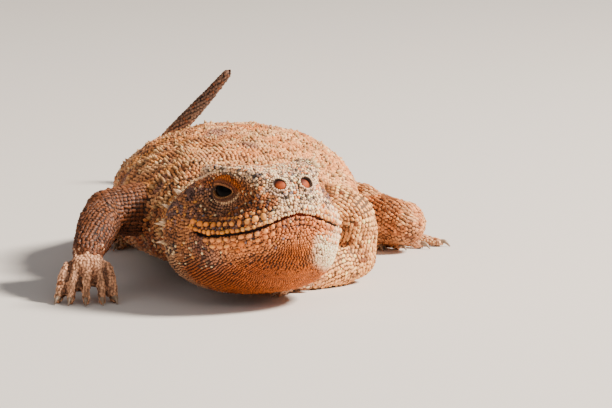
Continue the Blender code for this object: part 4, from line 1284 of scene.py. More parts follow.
def sow_piece(name, parts, shape, slot):
    places, normals, lies, sizes, colours, uvs, tips = parts
    verts, faces, rise = shape
    lies = lies - normals * np.sum(lies * normals, axis=1)[:, None]
    lies = lies / (np.linalg.norm(lies, axis=1)[:, None] + 1e-9)
    across = np.cross(normals, lies)
    count, each = len(places), len(verts)
    scaled = verts[None] * sizes[:, None, :]
    points = (
        places[:, None]
        + scaled[..., :1] * lies[:, None]
        + scaled[..., 1:2] * across[:, None]
        + scaled[..., 2:] * normals[:, None]
    )
    loops = np.concatenate([np.array(face) for face in faces])
    all_loops = (loops[None] + (np.arange(count) * each)[:, None]).ravel()
    all_totals = np.tile([len(face) for face in faces], count)
    mesh = bpy.data.meshes.new(name)
    mesh.vertices.add(count * each)
    placed = to_world(points.reshape(-1, 3))
    placed[:, 2] = np.maximum(placed[:, 2], 0.0)
    mesh.vertices.foreach_set("co", placed.ravel())
    mesh.loops.add(len(all_loops))
    mesh.loops.foreach_set("vertex_index", all_loops)
    mesh.polygons.add(len(all_totals))
    mesh.polygons.foreach_set("loop_start", np.concatenate([[0], np.cumsum(all_totals)[:-1]]))
    mesh.update(calc_edges=True)
    # Painted shade at each scale's root, running to its paler, partly lit tip.
    pale = np.tile(np.maximum(rise, 0.0)[None], (count, 1))
    shade = mix(colours[:, None] * ROOT_PAINTED_SHADE[slot], tips[:, None], pale)
    set_colours(mesh, np.clip(shade, 0.0, 1.0).reshape(-1, 3))
    flat = verts[:, :2] / np.ptp(verts[:, :2], axis=0).max() * PATCH
    layer = mesh.uv_layers.new(name="OFBake")
    layer.data.foreach_set("uv", (uvs[:, None] + flat[None]).reshape(-1, 2)[all_loops].ravel())
    mesh.materials.append(SCALE_HIDE)
    smooth_faces = np.full(len(all_totals), id(shape) not in FLAT_SHAPES)
    mesh.polygons.foreach_set("use_smooth", smooth_faces)
    obj = bpy.data.objects.new(name, mesh)
    bpy.context.scene.collection.objects.link(obj)
    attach(obj, "root")


TAKEN = []


def free_places(places, gap):
    """Leaves out places nearer than the gap to one already taken."""
    if not TAKEN:
        return np.ones(len(places), bool)
    tree = tree_of(np.concatenate(TAKEN))
    return np.array([tree.find(point)[2] > gap for point in places])


def apart(spots, gap):
    """Leaves out each place that is too near an earlier one."""
    tree = tree_of(spots)
    kept = np.ones(len(spots), bool)
    for n, spot in enumerate(spots):
        if kept[n]:
            for _, other, _ in tree.find_range(spot, gap):
                if other > n:
                    kept[other] = False
    return kept


def varied(count, draw, spread=0.12):
    return np.exp(draw.normal(0.0, spread, (count, 1)))


def scale_field(
    name, spacing, height, draw, kind, keep=None, most=1.2, clear=None, fill=0.98, **rows
):
    """Covers one surface with scales in rows, clear of the scales that already stand."""
    places, lies, uvs = rows_on(name, spacing, draw, **rows)
    spots, normals, chosen = on_skin(places, most)
    chosen &= apart(spots, spacing * 0.62)
    if keep is not None:
        chosen &= keep(spots)
    chosen &= to_world(spots)[:, 2] > 0.3 * MM
    spots, normals, lies, uvs = spots[chosen], normals[chosen], lies[chosen], uvs[chosen]
    free = free_places(spots, clear or 0.6 * spacing)
    spots, normals, lies, uvs = spots[free], normals[free], lies[free], uvs[free]
    TAKEN.append(spots)
    count = len(spots)
    colours = speckled(spots, hide_colours(spots, kind), draw, kind)
    size = spacing * (fill + draw.normal(0.0, 0.13, (count, 2)))
    heights = height * np.exp(draw.normal(0.0, 0.2, count))
    sizes = np.stack([size[:, 0] * 1.06, size[:, 1], heights], axis=1)
    loose = np.ones((count, 1))
    if name == "head":
        columns = throat_share(spots)[:, None]
        sizes *= 1.0 + columns * THROAT_STRETCH
        sizes[:, 1] *= 1.0 + columns[:, 0] * draw.normal(0.0, 0.08, count)
        loose -= 0.8 * columns
    lies = lies / (np.linalg.norm(lies, axis=1)[:, None] + 1e-9)
    lies = lies + draw.normal(0.0, 0.2, (count, 3)) * loose
    normals = normals + draw.normal(0.0, 0.12, (count, 3)) * loose
    normals /= np.linalg.norm(normals, axis=1)[:, None]
    return Field(spots, normals, lies, sizes, colours, atlas_place(name, uvs))


THROAT_STRETCH = np.array([0.1, -0.4, 0.25])


def throat_share(points):
    """1 on the throat, whose scales stand in upright columns."""
    local = to_head(points)
    depth = mouth_height(local) - local[:, 2]
    return ramp(depth - 4.0 * ramp(local[:, 1], 2.5, 5.0), 3.5, 6.0)


def strewn(base, hue, chance, draw, least=0.35):
    """Gives some scales, by chance, another hue, some more fully than others."""
    count = len(base)
    share = least + (1 - least) * draw.random(count)
    return mix(base, hue, (draw.random(count) < chance) * share)


def speckled(points, base, draw, kind):
    """Single scales paler or darker than the hide around them."""
    base = base * varied(len(points), draw, 0.2)
    if kind != "body":
        base = strewn(base, base * 1.4 + 0.03, 0.03 if kind == "tail" else 0.1, draw)
        return strewn(base, BROWN, 0.04 if kind == "digit" else 0.14, draw)
    local = to_head(points)
    head = local[:, 0] > HEAD_BACK + 0.5
    off_line = local[:, 2] - mouth_height(local)
    crown = head * ramp(local[:, 2] - np.interp(local[:, 0], *CROWN_EDGE), -0.8, 0.6)
    snout = head * ramp(local[:, 0], 6.0, 9.0) * ramp(off_line, -3.0, 1.0)
    bright = np.maximum(crown, 0.7 * snout)
    base = strewn(base, SLATE, 0.16 * bright, draw)
    base = strewn(base, ORANGE, 0.24 * bright, draw)
    base = strewn(base, CREAM, 0.12 * bright, draw)
    base = strewn(base, BLACK, 0.2 * bright, draw, 0.75)
    cheek = head * bell(off_line - 2.5, 4.0) * (1 - bright)
    base = strewn(base, DARK_BROWN, 0.24 * cheek, draw)
    base = strewn(base, YELLOW_TAN, 0.1 * cheek, draw)
    base = strewn(base, TAN, 0.12 * cheek, draw)
    base = strewn(base, SLATE, 0.12 * cheek, draw)
    jaw = head * ramp(-off_line, 1.0, 3.0) * (1 - ramp(-off_line, 5.5, 8.0))
    base = strewn(base, base * 1.5 + 0.03, 0.14 * jaw, draw)
    rear = 1 - ramp(local[:, 0], -1.0, 5.0)
    base = strewn(base, BROWN, 0.16 * jaw * rear, draw)
    base = strewn(base, CREAM, 0.12 * jaw * rear, draw)
    base = strewn(base, BLACK, 0.16 * jaw * rear, draw, 0.6)
    rest = 1.0 - head
    base = strewn(base, CREAM, 0.05 * rest, draw)
    return strewn(base, DARK_BROWN, 0.08 * rest, draw)


# Scales of the lips, nostrils and lids


def head_hit(start, out):
    """Where a ray in the head's frame, from far out, meets the skin, in the head's frame."""
    way = np.array(out) @ TURN
    far = from_head(np.array(start)) + way * 40.0
    place, _, _, _ = TREE.ray_cast(Vector(far), Vector(-way))
    return None if place is None else to_head(np.array(place))


def lip_line(side, offset, step):
    """Places along one side of the lip, from the front back to the mouth's corner."""
    points = []
    for bearing in np.radians(np.linspace(0.5, 112.0, 300)):
        out = np.array((math.cos(bearing), side * math.sin(bearing), 0.0))
        guess = head_hit((-1.0, 0.0, MOUTH_LEVEL), out)
        at = head_hit((-1.0, 0.0, mouth_height(guess) + offset), out)
        if at is not None and at[0] > MOUTH_CORNER - 0.5:
            points.append(at)
    points = np.array(points)
    steps = np.linalg.norm(np.diff(points, axis=0), axis=1)
    smaller = LIP_FRONT_SIZE + (1 - LIP_FRONT_SIZE) * ramp(np.abs(points[1:, 1]), 2.0, 7.0)
    gone = np.concatenate([[0.0], np.cumsum(steps / smaller)])
    count = int(gone[-1] / step)
    wanted = (np.arange(count) + 0.5) / count * gone[-1]
    places = np.stack([np.interp(wanted, gone, points[:, k]) for k in range(3)], axis=1)
    return places, np.interp(wanted, gone[1:], smaller)


LIP_FRONT_SIZE = 0.55
LIP_FRONT_CLOSER = 0.6
LIP_ROWS = (
    # height over the mouth's line, step, height and thickness of a scale, colour, and how far
    # back the row runs
    (0.62, 1.06, 1.02, 0.66, YELLOW_TAN, MOUTH_CORNER - 0.5),
    (1.86, 1.5, 1.36, 0.7, mix(YELLOW_TAN, ORANGE, np.array(0.35)), MOUTH_CORNER - 0.3),
    (2.98, 1.12, 0.86, 0.46, mix(YELLOW_TAN, BROWN, np.array(0.3)), MOUTH_CORNER + 1.0),
    (-0.8, 1.5, 1.1, 0.7, mix(PALE_ORANGE, ORANGE, np.array(0.25)), MOUTH_CORNER + 2.2),
    (-1.95, 1.5, 1.06, 0.62, mix(PALE_ORANGE, ORANGE, np.array(0.4)), MOUTH_CORNER + 4.2),
    (-2.95, 1.2, 0.86, 0.5, mix(PALE_ORANGE, ORANGE, np.array(0.5)), MOUTH_CORNER + 5.6),
)


def lip_field(draw):
    """Rows of rounded scales along both lips, small and whitish at the front."""
    fields = []
    for offset, step, tall, out, hue, back in LIP_ROWS:
        for side in (1, -1):
            local, smaller = lip_line(side, offset, step)
            kept = local[:, 0] > back
            local, smaller = local[kept], smaller[kept]
            local[:, 2] += draw.normal(0.0, 0.05, len(local)) - LIP_FRONT_CLOSER * offset * (1 - smaller)
            places = from_head(local)
            spots, normals, _ = on_skin(places, 2.0)
            count = len(spots)
            TAKEN.append(spots)
            sizes = np.stack(
                [
                    smaller * step * (0.88 + draw.normal(0, 0.12, count)),
                    (0.35 + 0.65 * smaller) * tall * (0.88 + draw.normal(0, 0.13, count)),
                    out * (0.4 + 0.6 * smaller) * varied(count, draw, 0.2)[:, 0],
                ],
                axis=1,
            )
            front = 1 - ramp(np.abs(local[:, 1]), 2.5, 6.5)
            lip_hue = WHITISH if offset > 0 else tone(170, 110, 76)
            base = mix(np.tile(hue, (count, 1)), lip_hue, 0.9 * front) * varied(count, draw, 0.2)
            if offset > 0:
                base = mix(base, ORANGE, 0.5 * (1 - ramp(local[:, 0], 0.5, 4.5)))
                base = mix(base, tone(214, 170, 122), 0.3 * ramp(local[:, 0], 5.0, 9.0))
            if offset > 2.5:
                base = mix(base, UMBER * 0.6, 0.85 * (1 - ramp(local[:, 0], 3.0, 6.5)))
            # Whitish lip scales on the head's left side only: their pale colour, with painted sunlight on that
            # side.
            pale_lit_side = ramp(local[:, 1], 6.0, 9.0)
            base = mix(base, WHITISH, 0.7 * pale_lit_side)
            base = strewn(base, SLATE, 0.04 + 0.06 * front, draw)
            base = strewn(base, ORANGE, 0.16 * (1 - front), draw)
            ahead = np.gradient(places, axis=0) + draw.normal(0.0, 0.12, (count, 3))
            fields.append(Field(spots, normals, ahead, sizes, base, head_uvs(spots)))
    return fields[0].joined(*fields[1:])


NOSTRIL_ROWS = (
    # distance from the nostril's middle, number of scales, size, height
    (1.36, 18, 0.46, 0.34),
    (1.84, 23, 0.5, 0.32),
    (2.34, 28, 0.52, 0.32),
)


def nostril_field(draw):
    """Rings of small scales round the nostrils, greyer in the cup below each."""
    fields = []
    for side in (1, -1):
        facing = unit(np.array(NOSTRIL_FACING) * np.array([1.0, side, 1.0]))
        across = unit(np.cross(facing, np.array([0.0, 0.0, 1.0])))
        up = np.cross(across, facing)
        centre = np.array(NOSTRIL_AT) * np.array([1.0, side, 1.0])
        for row, (radius, count, size, height) in enumerate(NOSTRIL_ROWS):
            turns = 2 * np.pi * (np.arange(count) + 0.5 * (row % 2)) / count
            flat = across * np.cos(turns)[:, None] + up * np.sin(turns)[:, None]
            places = from_head(centre + facing * 0.4 + flat * radius)
            spots, normals, close = on_skin(places, 2.0)
            spots, normals, flat, rise = spots[close], normals[close], flat[close], np.sin(turns)[close]
            free = free_places(spots, size * 0.5)
            spots, normals, flat, rise = spots[free], normals[free], flat[free], rise[free]
            TAKEN.append(spots)
            base = hide_colours(spots) * varied(len(spots), draw, 0.15)
            base = mix(base, tone(206, 176, 166), 0.7 * ramp(-rise, -0.2, 0.6))
            base = strewn(base, DARK_BROWN, 0.22 * ramp(rise, -0.3, 0.4), draw)
            sizes = np.tile([size * 1.05, size * 1.1, height], (len(spots), 1))
            fields.append(Field(spots, normals, flat @ TURN, sizes, base, head_uvs(spots)))
    return fields[0].joined(*fields[1:])


def build_nostril(side, word):
    """The rounded flap that all but closes a nostril, bright low down and dark above: its orange, with a
    painted glow below and painted shade above.
    """
    facing = unit(np.array(NOSTRIL_FACING) * np.array([1.0, side, 1.0]))
    across = unit(np.cross(facing, np.array([0.0, 0.0, 1.0])))
    up = np.cross(across, facing)
    centre = np.array(NOSTRIL_AT) * np.array([1.0, side, 1.0])
    rings, sides = 12, 36
    lat = np.pi * (np.arange(rings) + 0.5) / rings
    lon = 2 * np.pi * np.arange(sides) / sides
    flat = np.sin(lat)[:, None, None] * (
        across * (1.16 * np.cos(lon))[:, None] + up * (1.06 * np.sin(lon))[:, None]
    )
    grid = centre - facing * 0.35 + flat + (np.cos(lat) * 0.55)[:, None, None] * facing
    rise = np.sin(lat)[:, None] * (np.sin(lon) + 0.45 * np.cos(lon))[None]
    obj = mesh_object(
        f"nostril_{word}", to_world(from_head(grid.reshape(-1, 3))), grid_faces(rings, sides)
    )
    flap_glow_and_shade = mix(np.tile(NOSTRIL_ORANGE_GLOW, (rings * sides, 1)), NOSTRIL_SHADE, ramp(rise.ravel(), -0.1, 0.7))
    set_colours(obj.data, flap_glow_and_shade)
    obj.data.materials.append(HIDE)
    obj.data.shade_smooth()
    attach(obj, "root")


LID_ROWS = (
    # share of the way from the opening's rim to the lid's edge, distance from the eye's centre
    (0.0, 2.75),
    (0.0, 3.06),
    (0.015, 3.28),
    (0.05, 3.4),
    (0.085, 3.38),
    (0.12, 3.14),
    (0.19, 3.42),
    (0.26, 3.5),
    (0.32, 3.26),
    (0.4, 3.54),
    (0.5, 3.6),
    (0.57, 3.36),
    (0.66, 3.6),
    (0.78, 3.62),
    (0.9, 3.44),
    (1.0, 3.1),
)
LID_CREASES = (0.12, 0.32, 0.57)
LID_EDGE = (80.0, 66.0)


def lid_point(side, turn, share, radius):
    """A point of the lids at a turn round the opening, in the head's frame."""
    look, front, up = eye_axes(side)
    c, s = np.cos(turn), np.sin(turn)
    half_long = math.degrees(math.asin(LID_OPENING[0] / 2 / EYE_RADIUS))
    half_high = math.degrees(math.asin(LID_OPENING[1] / 2 / EYE_RADIUS))
    rim_b = half_high * np.where(s > 0, 0.86 * np.abs(s) ** 0.75, -1.12 * np.abs(s) ** 1.3)
    a = np.radians((half_long * c + LID_SHIFT[0]) * (1 - share) + LID_EDGE[0] * c * share)
    b = np.radians((rim_b + LID_SHIFT[1]) * (1 - share) + LID_EDGE[1] * s * share)
    off = np.hypot(a, b)
    scale = np.sin(off) / np.maximum(off, 1e-6)
    along = front * (a * scale)[..., None] + up * (b * scale)[..., None]
    way = look * np.cos(off)[..., None] + along
    return eye_centre(side) + way * np.asarray(radius)[..., None]


def lid_tones(share, rise):
    """The colour of the lids: rise is 1 at the top of the upper lid and -1 under the lower."""
    whole = (len(share), 1)
    # The upper lid darker and more orange than the lower: painted shade under the brow.
    above = mix(np.tile(tone(160, 112, 80), whole), tone(110, 66, 44), ramp(share, 0.04, 0.08))
    above = mix(above, DEEP_ORANGE, ramp(share, 0.2, 0.4))
    below = mix(np.tile(tone(180, 132, 88), whole), tone(92, 62, 46), ramp(share, 0.03, 0.06))
    below = mix(below, UMBER, ramp(share, 0.3, 0.5))
    below = mix(below, tone(212, 176, 148), bell(share - 0.42, 0.09))
    colour = mix(below, above, ramp(rise, -0.2, 0.3))
    # Painted shade in the creases of the lids.
    for crease in LID_CREASES:
        colour = mix(colour, DARK_BROWN, 0.8 * bell(share - crease, 0.035))
    return colour


def build_lids(side, word, draw):
    sides = 72
    turns = 2 * np.pi * np.arange(sides) / sides
    rows = [
        lid_point(side, turns, np.full(sides, share), np.full(sides, radius))
        for share, radius in LID_ROWS
    ]
    grid = from_head(np.stack(rows))
    faces = grid_faces(len(rows), sides)[:-2]
    obj = mesh_object(f"lids_{word}", to_world(grid.reshape(-1, 3)), faces)
    thick = obj.modifiers.new("thick", "SOLIDIFY")
    thick.thickness = 0.1 * MM
    thick.offset = -1.0
    share = np.repeat([row[0] for row in LID_ROWS], sides)
    rise = np.tile(np.sin(turns), len(LID_ROWS))
    # The lids' skin darkened as painted shade between their scales, darkest at the rim by the eye.
    set_colours(obj.data, lid_tones(share, rise) * np.where(share < 0.01, 0.2, 0.4)[:, None])
    obj.data.materials.append(HIDE)
    obj.data.shade_smooth()
    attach(obj, "root")
    sow(f"lid_scales_{word}", lid_field(side, draw).joined(orbit_field(side, draw)), GRANULE, "head")


LID_SCALE_ROWS = (
    # share, step round the opening, size across the row, height
    (0.02, 0.32, 0.22, 0.2),
    (0.06, 0.34, 0.34, 0.26),
    (0.165, 0.4, 0.4, 0.3),
    (0.23, 0.44, 0.42, 0.3),
    (0.28, 0.46, 0.42, 0.3),
    (0.37, 0.5, 0.46, 0.34),
    (0.44, 0.52, 0.46, 0.34),
    (0.51, 0.54, 0.46, 0.34),
    (0.62, 0.58, 0.5, 0.36),
    (0.7, 0.6, 0.52, 0.36),
    (0.78, 0.62, 0.54, 0.36),
    (0.87, 0.62, 0.56, 0.36),
)


def lid_field(side, draw):
    """Rows of small scales round the opening, the first of them a cream fringe."""
    fields = []
    fine = 2 * np.pi * np.arange(400) / 400
    for index, (share, step, wide, height) in enumerate(LID_SCALE_ROWS):
        radius = 0.04 + np.interp(share, *np.array(LID_ROWS[1:]).T)
        curve = lid_point(side, fine, np.full(400, share), np.full(400, radius))
        around = np.linalg.norm(np.roll(curve, -1, axis=0) - curve, axis=1).sum()
        count = int(around / step)
        points, us = resample_ring(curve, count, 0.5 * (index % 2))
        beyond = lid_point(side, 2 * np.pi * us, np.full(count, share + 0.1), np.full(count, radius))
        normals = points - eye_centre(side)
        normals /= np.linalg.norm(normals, axis=1)[:, None]
        base = lid_tones(np.full(count, share), np.sin(2 * np.pi * us))
        base = base * varied(count, draw, 0.2)
        base = strewn(base, DARK_BROWN, 0.12 * (share > 0.2), draw)
        sizes = np.tile([wide, step * 0.96, height], (count, 1))
        spots = from_head(points)
        TAKEN.append(spots)
        fields.append(
            Field(spots, normals @ TURN, from_head(beyond) - spots, sizes, base, head_uvs(spots))
        )
    return fields[0].joined(*fields[1:])


ORBIT_ROWS = (
    # half length and half height of the ring, step, size across the ring, height
    (3.3, 2.8, 0.6, 0.5, 0.26),
    (3.75, 3.15, 0.64, 0.5, 0.3),
    (4.2, 3.5, 0.66, 0.52, 0.32),
    (4.68, 3.85, 0.7, 0.54, 0.34),
    (5.16, 4.25, 0.72, 0.56, 0.34),
    (5.66, 4.65, 0.74, 0.56, 0.34),
    (6.18, 5.05, 0.76, 0.58, 0.34),
    (6.72, 5.45, 0.76, 0.6, 0.34),
)


def orbit_field(side, draw):
    """Curved rows of scales on the hide round the lids, each second row darker."""
    look, front, up = eye_axes(side)
    fields = []
    fine = 2 * np.pi * np.arange(300) / 300
    for index, (half_long, half_high, step, wide, height) in enumerate(ORBIT_ROWS):
        flat = front * (half_long * np.cos(fine))[:, None] + up * (half_high * np.sin(fine))[:, None]
        curve = eye_centre(side) + look * 2.9 + flat
        around = np.linalg.norm(np.roll(curve, -1, axis=0) - curve, axis=1).sum()
        count = int(around / step)
        points, us = resample_ring(curve, count, 0.5 * (index % 2))
        spots, normals, close = on_skin(from_head(points), 2.6)
        close &= np.sin(2 * np.pi * us) < (0.95 if index < 3 else 0.6)
        spots, normals, us, points = spots[close], normals[close], us[close], points[close]
        free = free_places(spots, wide * 0.62) & apart(spots, step * 0.6)
        spots, normals, us, points = spots[free], normals[free], us[free], points[free]
        TAKEN.append(spots)
        out = (points - eye_centre(side) - look * 2.9) @ TURN
        base = hide_colours(spots)
        below = ramp(-np.sin(2 * np.pi * us), -0.2, 0.5) * (1 - 0.12 * index)
        base = mix(base, tone(142, 112, 96), 0.6 * np.clip(below, 0.0, 1.0))
        base = base * varied(len(spots), draw, 0.2) * (0.62 if index % 2 else 1.08)
        base = strewn(base, DARK_BROWN, 0.14, draw)
        base = strewn(base, CREAM * 0.8, 0.08, draw)
        sizes = np.tile([wide, step * 1.04, height], (len(spots), 1))
        fields.append(Field(spots, normals, out, sizes, base, head_uvs(spots)))
    return fields[0].joined(*fields[1:])


def build_eye(side, word, material):
    mesh = bmesh.new()
    bmesh.ops.create_uvsphere(mesh, u_segments=64, v_segments=40, radius=EYE_RADIUS * MM)
    at = to_world(from_head(eye_centre(side)))
    bmesh.ops.translate(mesh, verts=mesh.verts, vec=Vector(at))
    data = bpy.data.meshes.new(f"eyeball_{word}")
    mesh.to_mesh(data)
    mesh.free()
    data.shade_smooth()
    data.materials.append(material)
    obj = bpy.data.objects.new(f"eyeball_{word}", data)
    bpy.context.scene.collection.objects.link(obj)
    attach(obj, "root")
    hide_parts(f"eye_{word}")


# Spines, fringes and claws


JOWL_SPINES = (
    # forward, degrees above the level of the jowl, length, radius
    (-10.4, 16.0, 2.0, 0.5),
    (-11.0, 5.0, 2.3, 0.52),
    (-10.0, -6.0, 1.8, 0.48),
    (-8.8, 26.0, 1.5, 0.45),
    (-10.8, 29.0, 1.8, 0.48),
    (-8.6, 6.0, 1.5, 0.45),
)
FOLD_HEIGHTS = (-4.8, -5.5, -6.2, -6.9, -7.6, -8.3, -9.0, -9.7, -10.4, -11.1, -11.8)
BROW_RUN = ((-5.6, 12.4, 2.6), (3.7, 11.8, 3.5))
BROW_SPINES = 15
BROW_FRINGE = 44
BROW_CORNER = (((4.6, 10.8, 3.2), 1.3), ((5.4, 9.8, 3.0), 1.0), ((3.8, 11.4, 2.4), 1.0))


def spine_field(places, normals, ways, lengths, radii, tones, tips, uvs=None):
    """Spines that taper to a point, each along its own way."""
    places, normals, ways = np.array(places), np.array(normals), np.array(ways)
    lengths, radii = np.array(lengths), np.array(radii)
    ways = ways / np.linalg.norm(ways, axis=1)[:, None]
    aside = np.cross(ways, normals + np.array([0.001, 0.0, 0.002]))
    aside /= np.linalg.norm(aside, axis=1)[:, None] + 1e-9
    sizes = np.stack([radii * 2, radii * 2, lengths], axis=1)
    count = len(places)
    tones = np.broadcast_to(tones, (count, 3))
    tips = np.broadcast_to(tips, (count, 3))
    uvs = head_uvs(places) if uvs is None else uvs
    return Field(places, ways, np.cross(aside, ways), sizes, tones, uvs, tips)


def head_spines(draw):
    """Spines of the jowls, of the folds behind the mouth's corners and of the brows."""
    places, normals, ways, lengths, radii, tips = [], [], [], [], [], []

    def add(local, way, length, radius, tip):
        spot, normal, close = on_skin(from_head(local)[None], 2.5)
        if close[0]:
            places.append(spot[0])
            normals.append(normal[0])
            ways.append(normal[0] + np.array(way) @ TURN)
            lengths.append(length)
            radii.append(radius)
            tips.append(tip)

    for side in (1, -1):
        for x, rise, length, radius in JOWL_SPINES:
            angle = math.radians(rise)
            at = head_hit((x, 0.0, -7.0), (0.0, side * math.cos(angle), math.sin(angle)))
            add(at, (-0.1, side * 0.35, 0.05), length, radius, WHITISH)
            for _ in range(3):
                near = at + draw.normal(0.0, 0.8, 3)
                add(near, (-0.4, side * 0.35, 0.05), length * 0.45, radius * 0.7, CREAM)
        for n, height in enumerate(FOLD_HEIGHTS):
            x = MOUTH_CORNER - 1.3 - 0.36 * max(-7.1 - height, 0.0) - 0.35 * (n % 2)
            at = head_hit((x, 0.0, height), (0.0, side, 0.0))
            add(at, (-0.9, side * 0.2, 0.0), 1.15 - 0.3 * (n % 2), 0.34, TAN)
        start, end = (np.array(point) * np.array([1.0, side, 1.0]) for point in BROW_RUN)
        for n in range(BROW_SPINES):
            at = start + (end - start) * n / (BROW_SPINES - 1)
            length = 0.6 + 0.35 * (n / BROW_SPINES) ** 2
            add(at, (0.0, side * 0.7, 0.15), length, 0.36, WHITISH)
        for n in range(BROW_FRINGE if side == 1 else 0):
            row, step = n % 4, (n // 4) / (BROW_FRINGE // 4 - 1)
            at = np.array([0.6 + 6.0 * step, side * (9.2 - 1.6 * step), 3.8 - 1.0 * row])
            at = at + draw.normal(0.0, 0.25, 3)
            way = (0.3 + 0.4 * step, side * 1.4, -0.1 * row) + draw.normal(0.0, 0.25, 3)
            length = (1.9 - 0.3 * row - 0.6 * step) * draw.uniform(0.75, 1.1)
            add(at, way, length, 0.42, CREAM * draw.uniform(0.75, 1.05))
        for at, length in BROW_CORNER:
            add(np.array(at) * np.array([1.0, side, 1.0]), (0.3, side * 0.5, 0.3), length, 0.5, WHITISH)
    count = len(places)
    tones = np.tile(TAN, (count, 1)) * varied(count, draw, 0.15)
    return spine_field(places, normals, ways, lengths, radii, tones, np.array(tips))


def trunk_spines(field, draw):
    """Clusters of pale spines with dark roots on the sides of the neck and the shoulders."""
    spots, normals, lies = field.parts[0], field.parts[1], field.parts[2]
    x, y, z = spots.T
    where = ramp(np.abs(x), 5.0, 10.0) * (1 - ramp(y, 14.0, 40.0)) * ramp(z, 8.0, 12.0)
    where = np.maximum(where, 0.5 * (1 - ramp(y, 50.0, 60.0)) * ramp(z, 10.0, 14.0))
    patch = ramp(noise_at(spots, 2.8, 31.0), 0.08, 0.3) * where
    grown = draw.random(len(spots)) < 0.5 * patch
    away = lies / (np.linalg.norm(lies, axis=1)[:, None] + 1e-9)
    count = int(grown.sum())
    ways = normals[grown] + 0.55 * away[grown]
    lengths = (0.55 + 0.5 * patch[grown] * where[grown]) * varied(count, draw, 0.18)[:, 0]
    radii = 0.42 + 0.08 * draw.random(count)
    tones = np.tile(DARK_BROWN, (count, 1))
    tips = mix(np.tile(tone(226, 184, 140), (count, 1)), TAN, 0.7 * draw.random(count))
    return spine_field(
        spots[grown], normals[grown], ways, lengths, radii, tones, tips, field.parts[5][grown]
    )


def claws_and_fringes():
    """A curved claw at the end of each digit, and the fringes of the long toes."""
    places, normals, ways, lengths, radii, uvs = [], [], [], [], [], []
    points, faces = [], []
    sides = 12
    for side in ("right", "left"):
        for kind in ("hand", "foot"):
            _, _, plans = extremity_plan(kind, side)
            for n, (base, middle, tip, way, length) in enumerate(plans):
                bend = tip + way * (CLAW_LENGTH * 0.5) + np.array([0, 0, 0.35])
                end = tip + way * CLAW_LENGTH + np.array([0, 0, 0.12 - tip[2]])
                path = [
                    (*(tip - way * 0.6), CLAW_RADIUS, CLAW_RADIUS),
                    (*bend, CLAW_RADIUS * 0.75, CLAW_RADIUS * 0.8),
                    (*end, 0.1, 0.1),
                ]
                grid = tube_grid(path, np.linspace(0, 1, 12), sides)
                faces += grid_faces(len(grid), sides, len(points) * len(grid) * sides)
                points.append(grid.reshape(-1, 3))
                if kind == "hand" or n not in FRINGED_TOES:
                    continue
                keys, _ = path_keys([tuple(base), tuple(middle), tuple(tip)])
                out = np.array([-way[1], way[0], 0.0])
                for k in range(int((length - 2.2) / FRINGE_STEP)):
                    t = (1.9 + k * FRINGE_STEP) / length
                    radius = DIGIT_RADII[0] + (DIGIT_RADII[2] - DIGIT_RADII[0]) * t
                    for sign in (1, -1):
                        places.append(np.array(smooth(keys, t)) + out * sign * radius * 0.85)
                        normals.append(np.array([0.0, 0.0, 1.0]))
                        ways.append(out * sign + way * 0.45)
                        lengths.append(1.05 * (1.0 - 0.35 * abs(2 * t - 1)))
                        radii.append(0.26)
                        uvs.append((0.5 + sign * 0.2, t))
    horn = ramp_material("claw", (0.16, 0.09, 0.05), (0.42, 0.3, 0.2), 1400.0, 0.35)
    obj = mesh_object("claws", to_world(np.concatenate(points)), faces, horn)
    obj.data.shade_smooth()
    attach(obj, "root")
    places_on_square = atlas_place("foot_left", np.array(uvs))
    return spine_field(places, normals, ways, lengths, radii, SAND, CREAM, places_on_square)


FRINGE_STEP = 0.62


def off_lids_and_lips(points, orbit=1.02):
    """Leaves bare the lids and the mouth's line, and the pits of the nostrils."""
    local = to_head(points)
    clear = np.linalg.norm(mirrored(local) - np.array(NOSTRIL_AT), axis=1) > 1.2
    for side in (1, -1):
        distance, share = orbit_share(local, side)
        clear &= (share > orbit) | (distance > 6.5)
    on_line = np.abs(local[:, 2] - mouth_height(local)) < 0.4
    return clear & ~(on_line & (local[:, 0] > MOUTH_CORNER))


def bare_places(draw):
    """Places strewn evenly over the head's skin, and their normals."""
    mesh = skin.data
    mesh.calc_loop_triangles()
    corners = np.empty(len(mesh.loop_triangles) * 3, np.int32)
    mesh.loop_triangles.foreach_get("vertices", corners)
    a, b, c = body_points(mesh)[corners.reshape(-1, 3)].transpose(1, 0, 2)
    normals = np.cross(b - a, c - a)
    areas = np.linalg.norm(normals, axis=1)
    normals /= areas[:, None] + 1e-12
    areas[to_head(a)[:, 0] < HEAD_BACK] = 0.0
    which = draw.choice(len(areas), GAP_TRIES, p=areas / areas.sum())
    shares = draw.dirichlet((1.0, 1.0, 1.0), GAP_TRIES)
    spots = shares[:, :1] * a[which] + shares[:, 1:2] * b[which] + shares[:, 2:] * c[which]
    return spots, normals[which]


def gap_field(draw):
    """Small beads wherever the head's skin is still bare."""
    spots, normals = bare_places(draw)
    chosen = off_lids_and_lips(spots, 0.9) & free_places(spots, 0.37)
    spots, normals = spots[chosen], normals[chosen]
    chosen = (part_of_points(spots) == "body") & apart(spots, 0.35)
    spots, normals = spots[chosen], normals[chosen]
    TAKEN.append(spots)
    count = len(spots)
    sizes = np.array([0.46, 0.46, 0.28]) * varied(count, draw)
    colours = speckled(spots, hide_colours(spots), draw, "body")
    lies = draw.normal(0.0, 1.0, (count, 3))
    return Field(spots, normals, lies, sizes, colours, head_uvs(spots))


GAP_TRIES = 40000


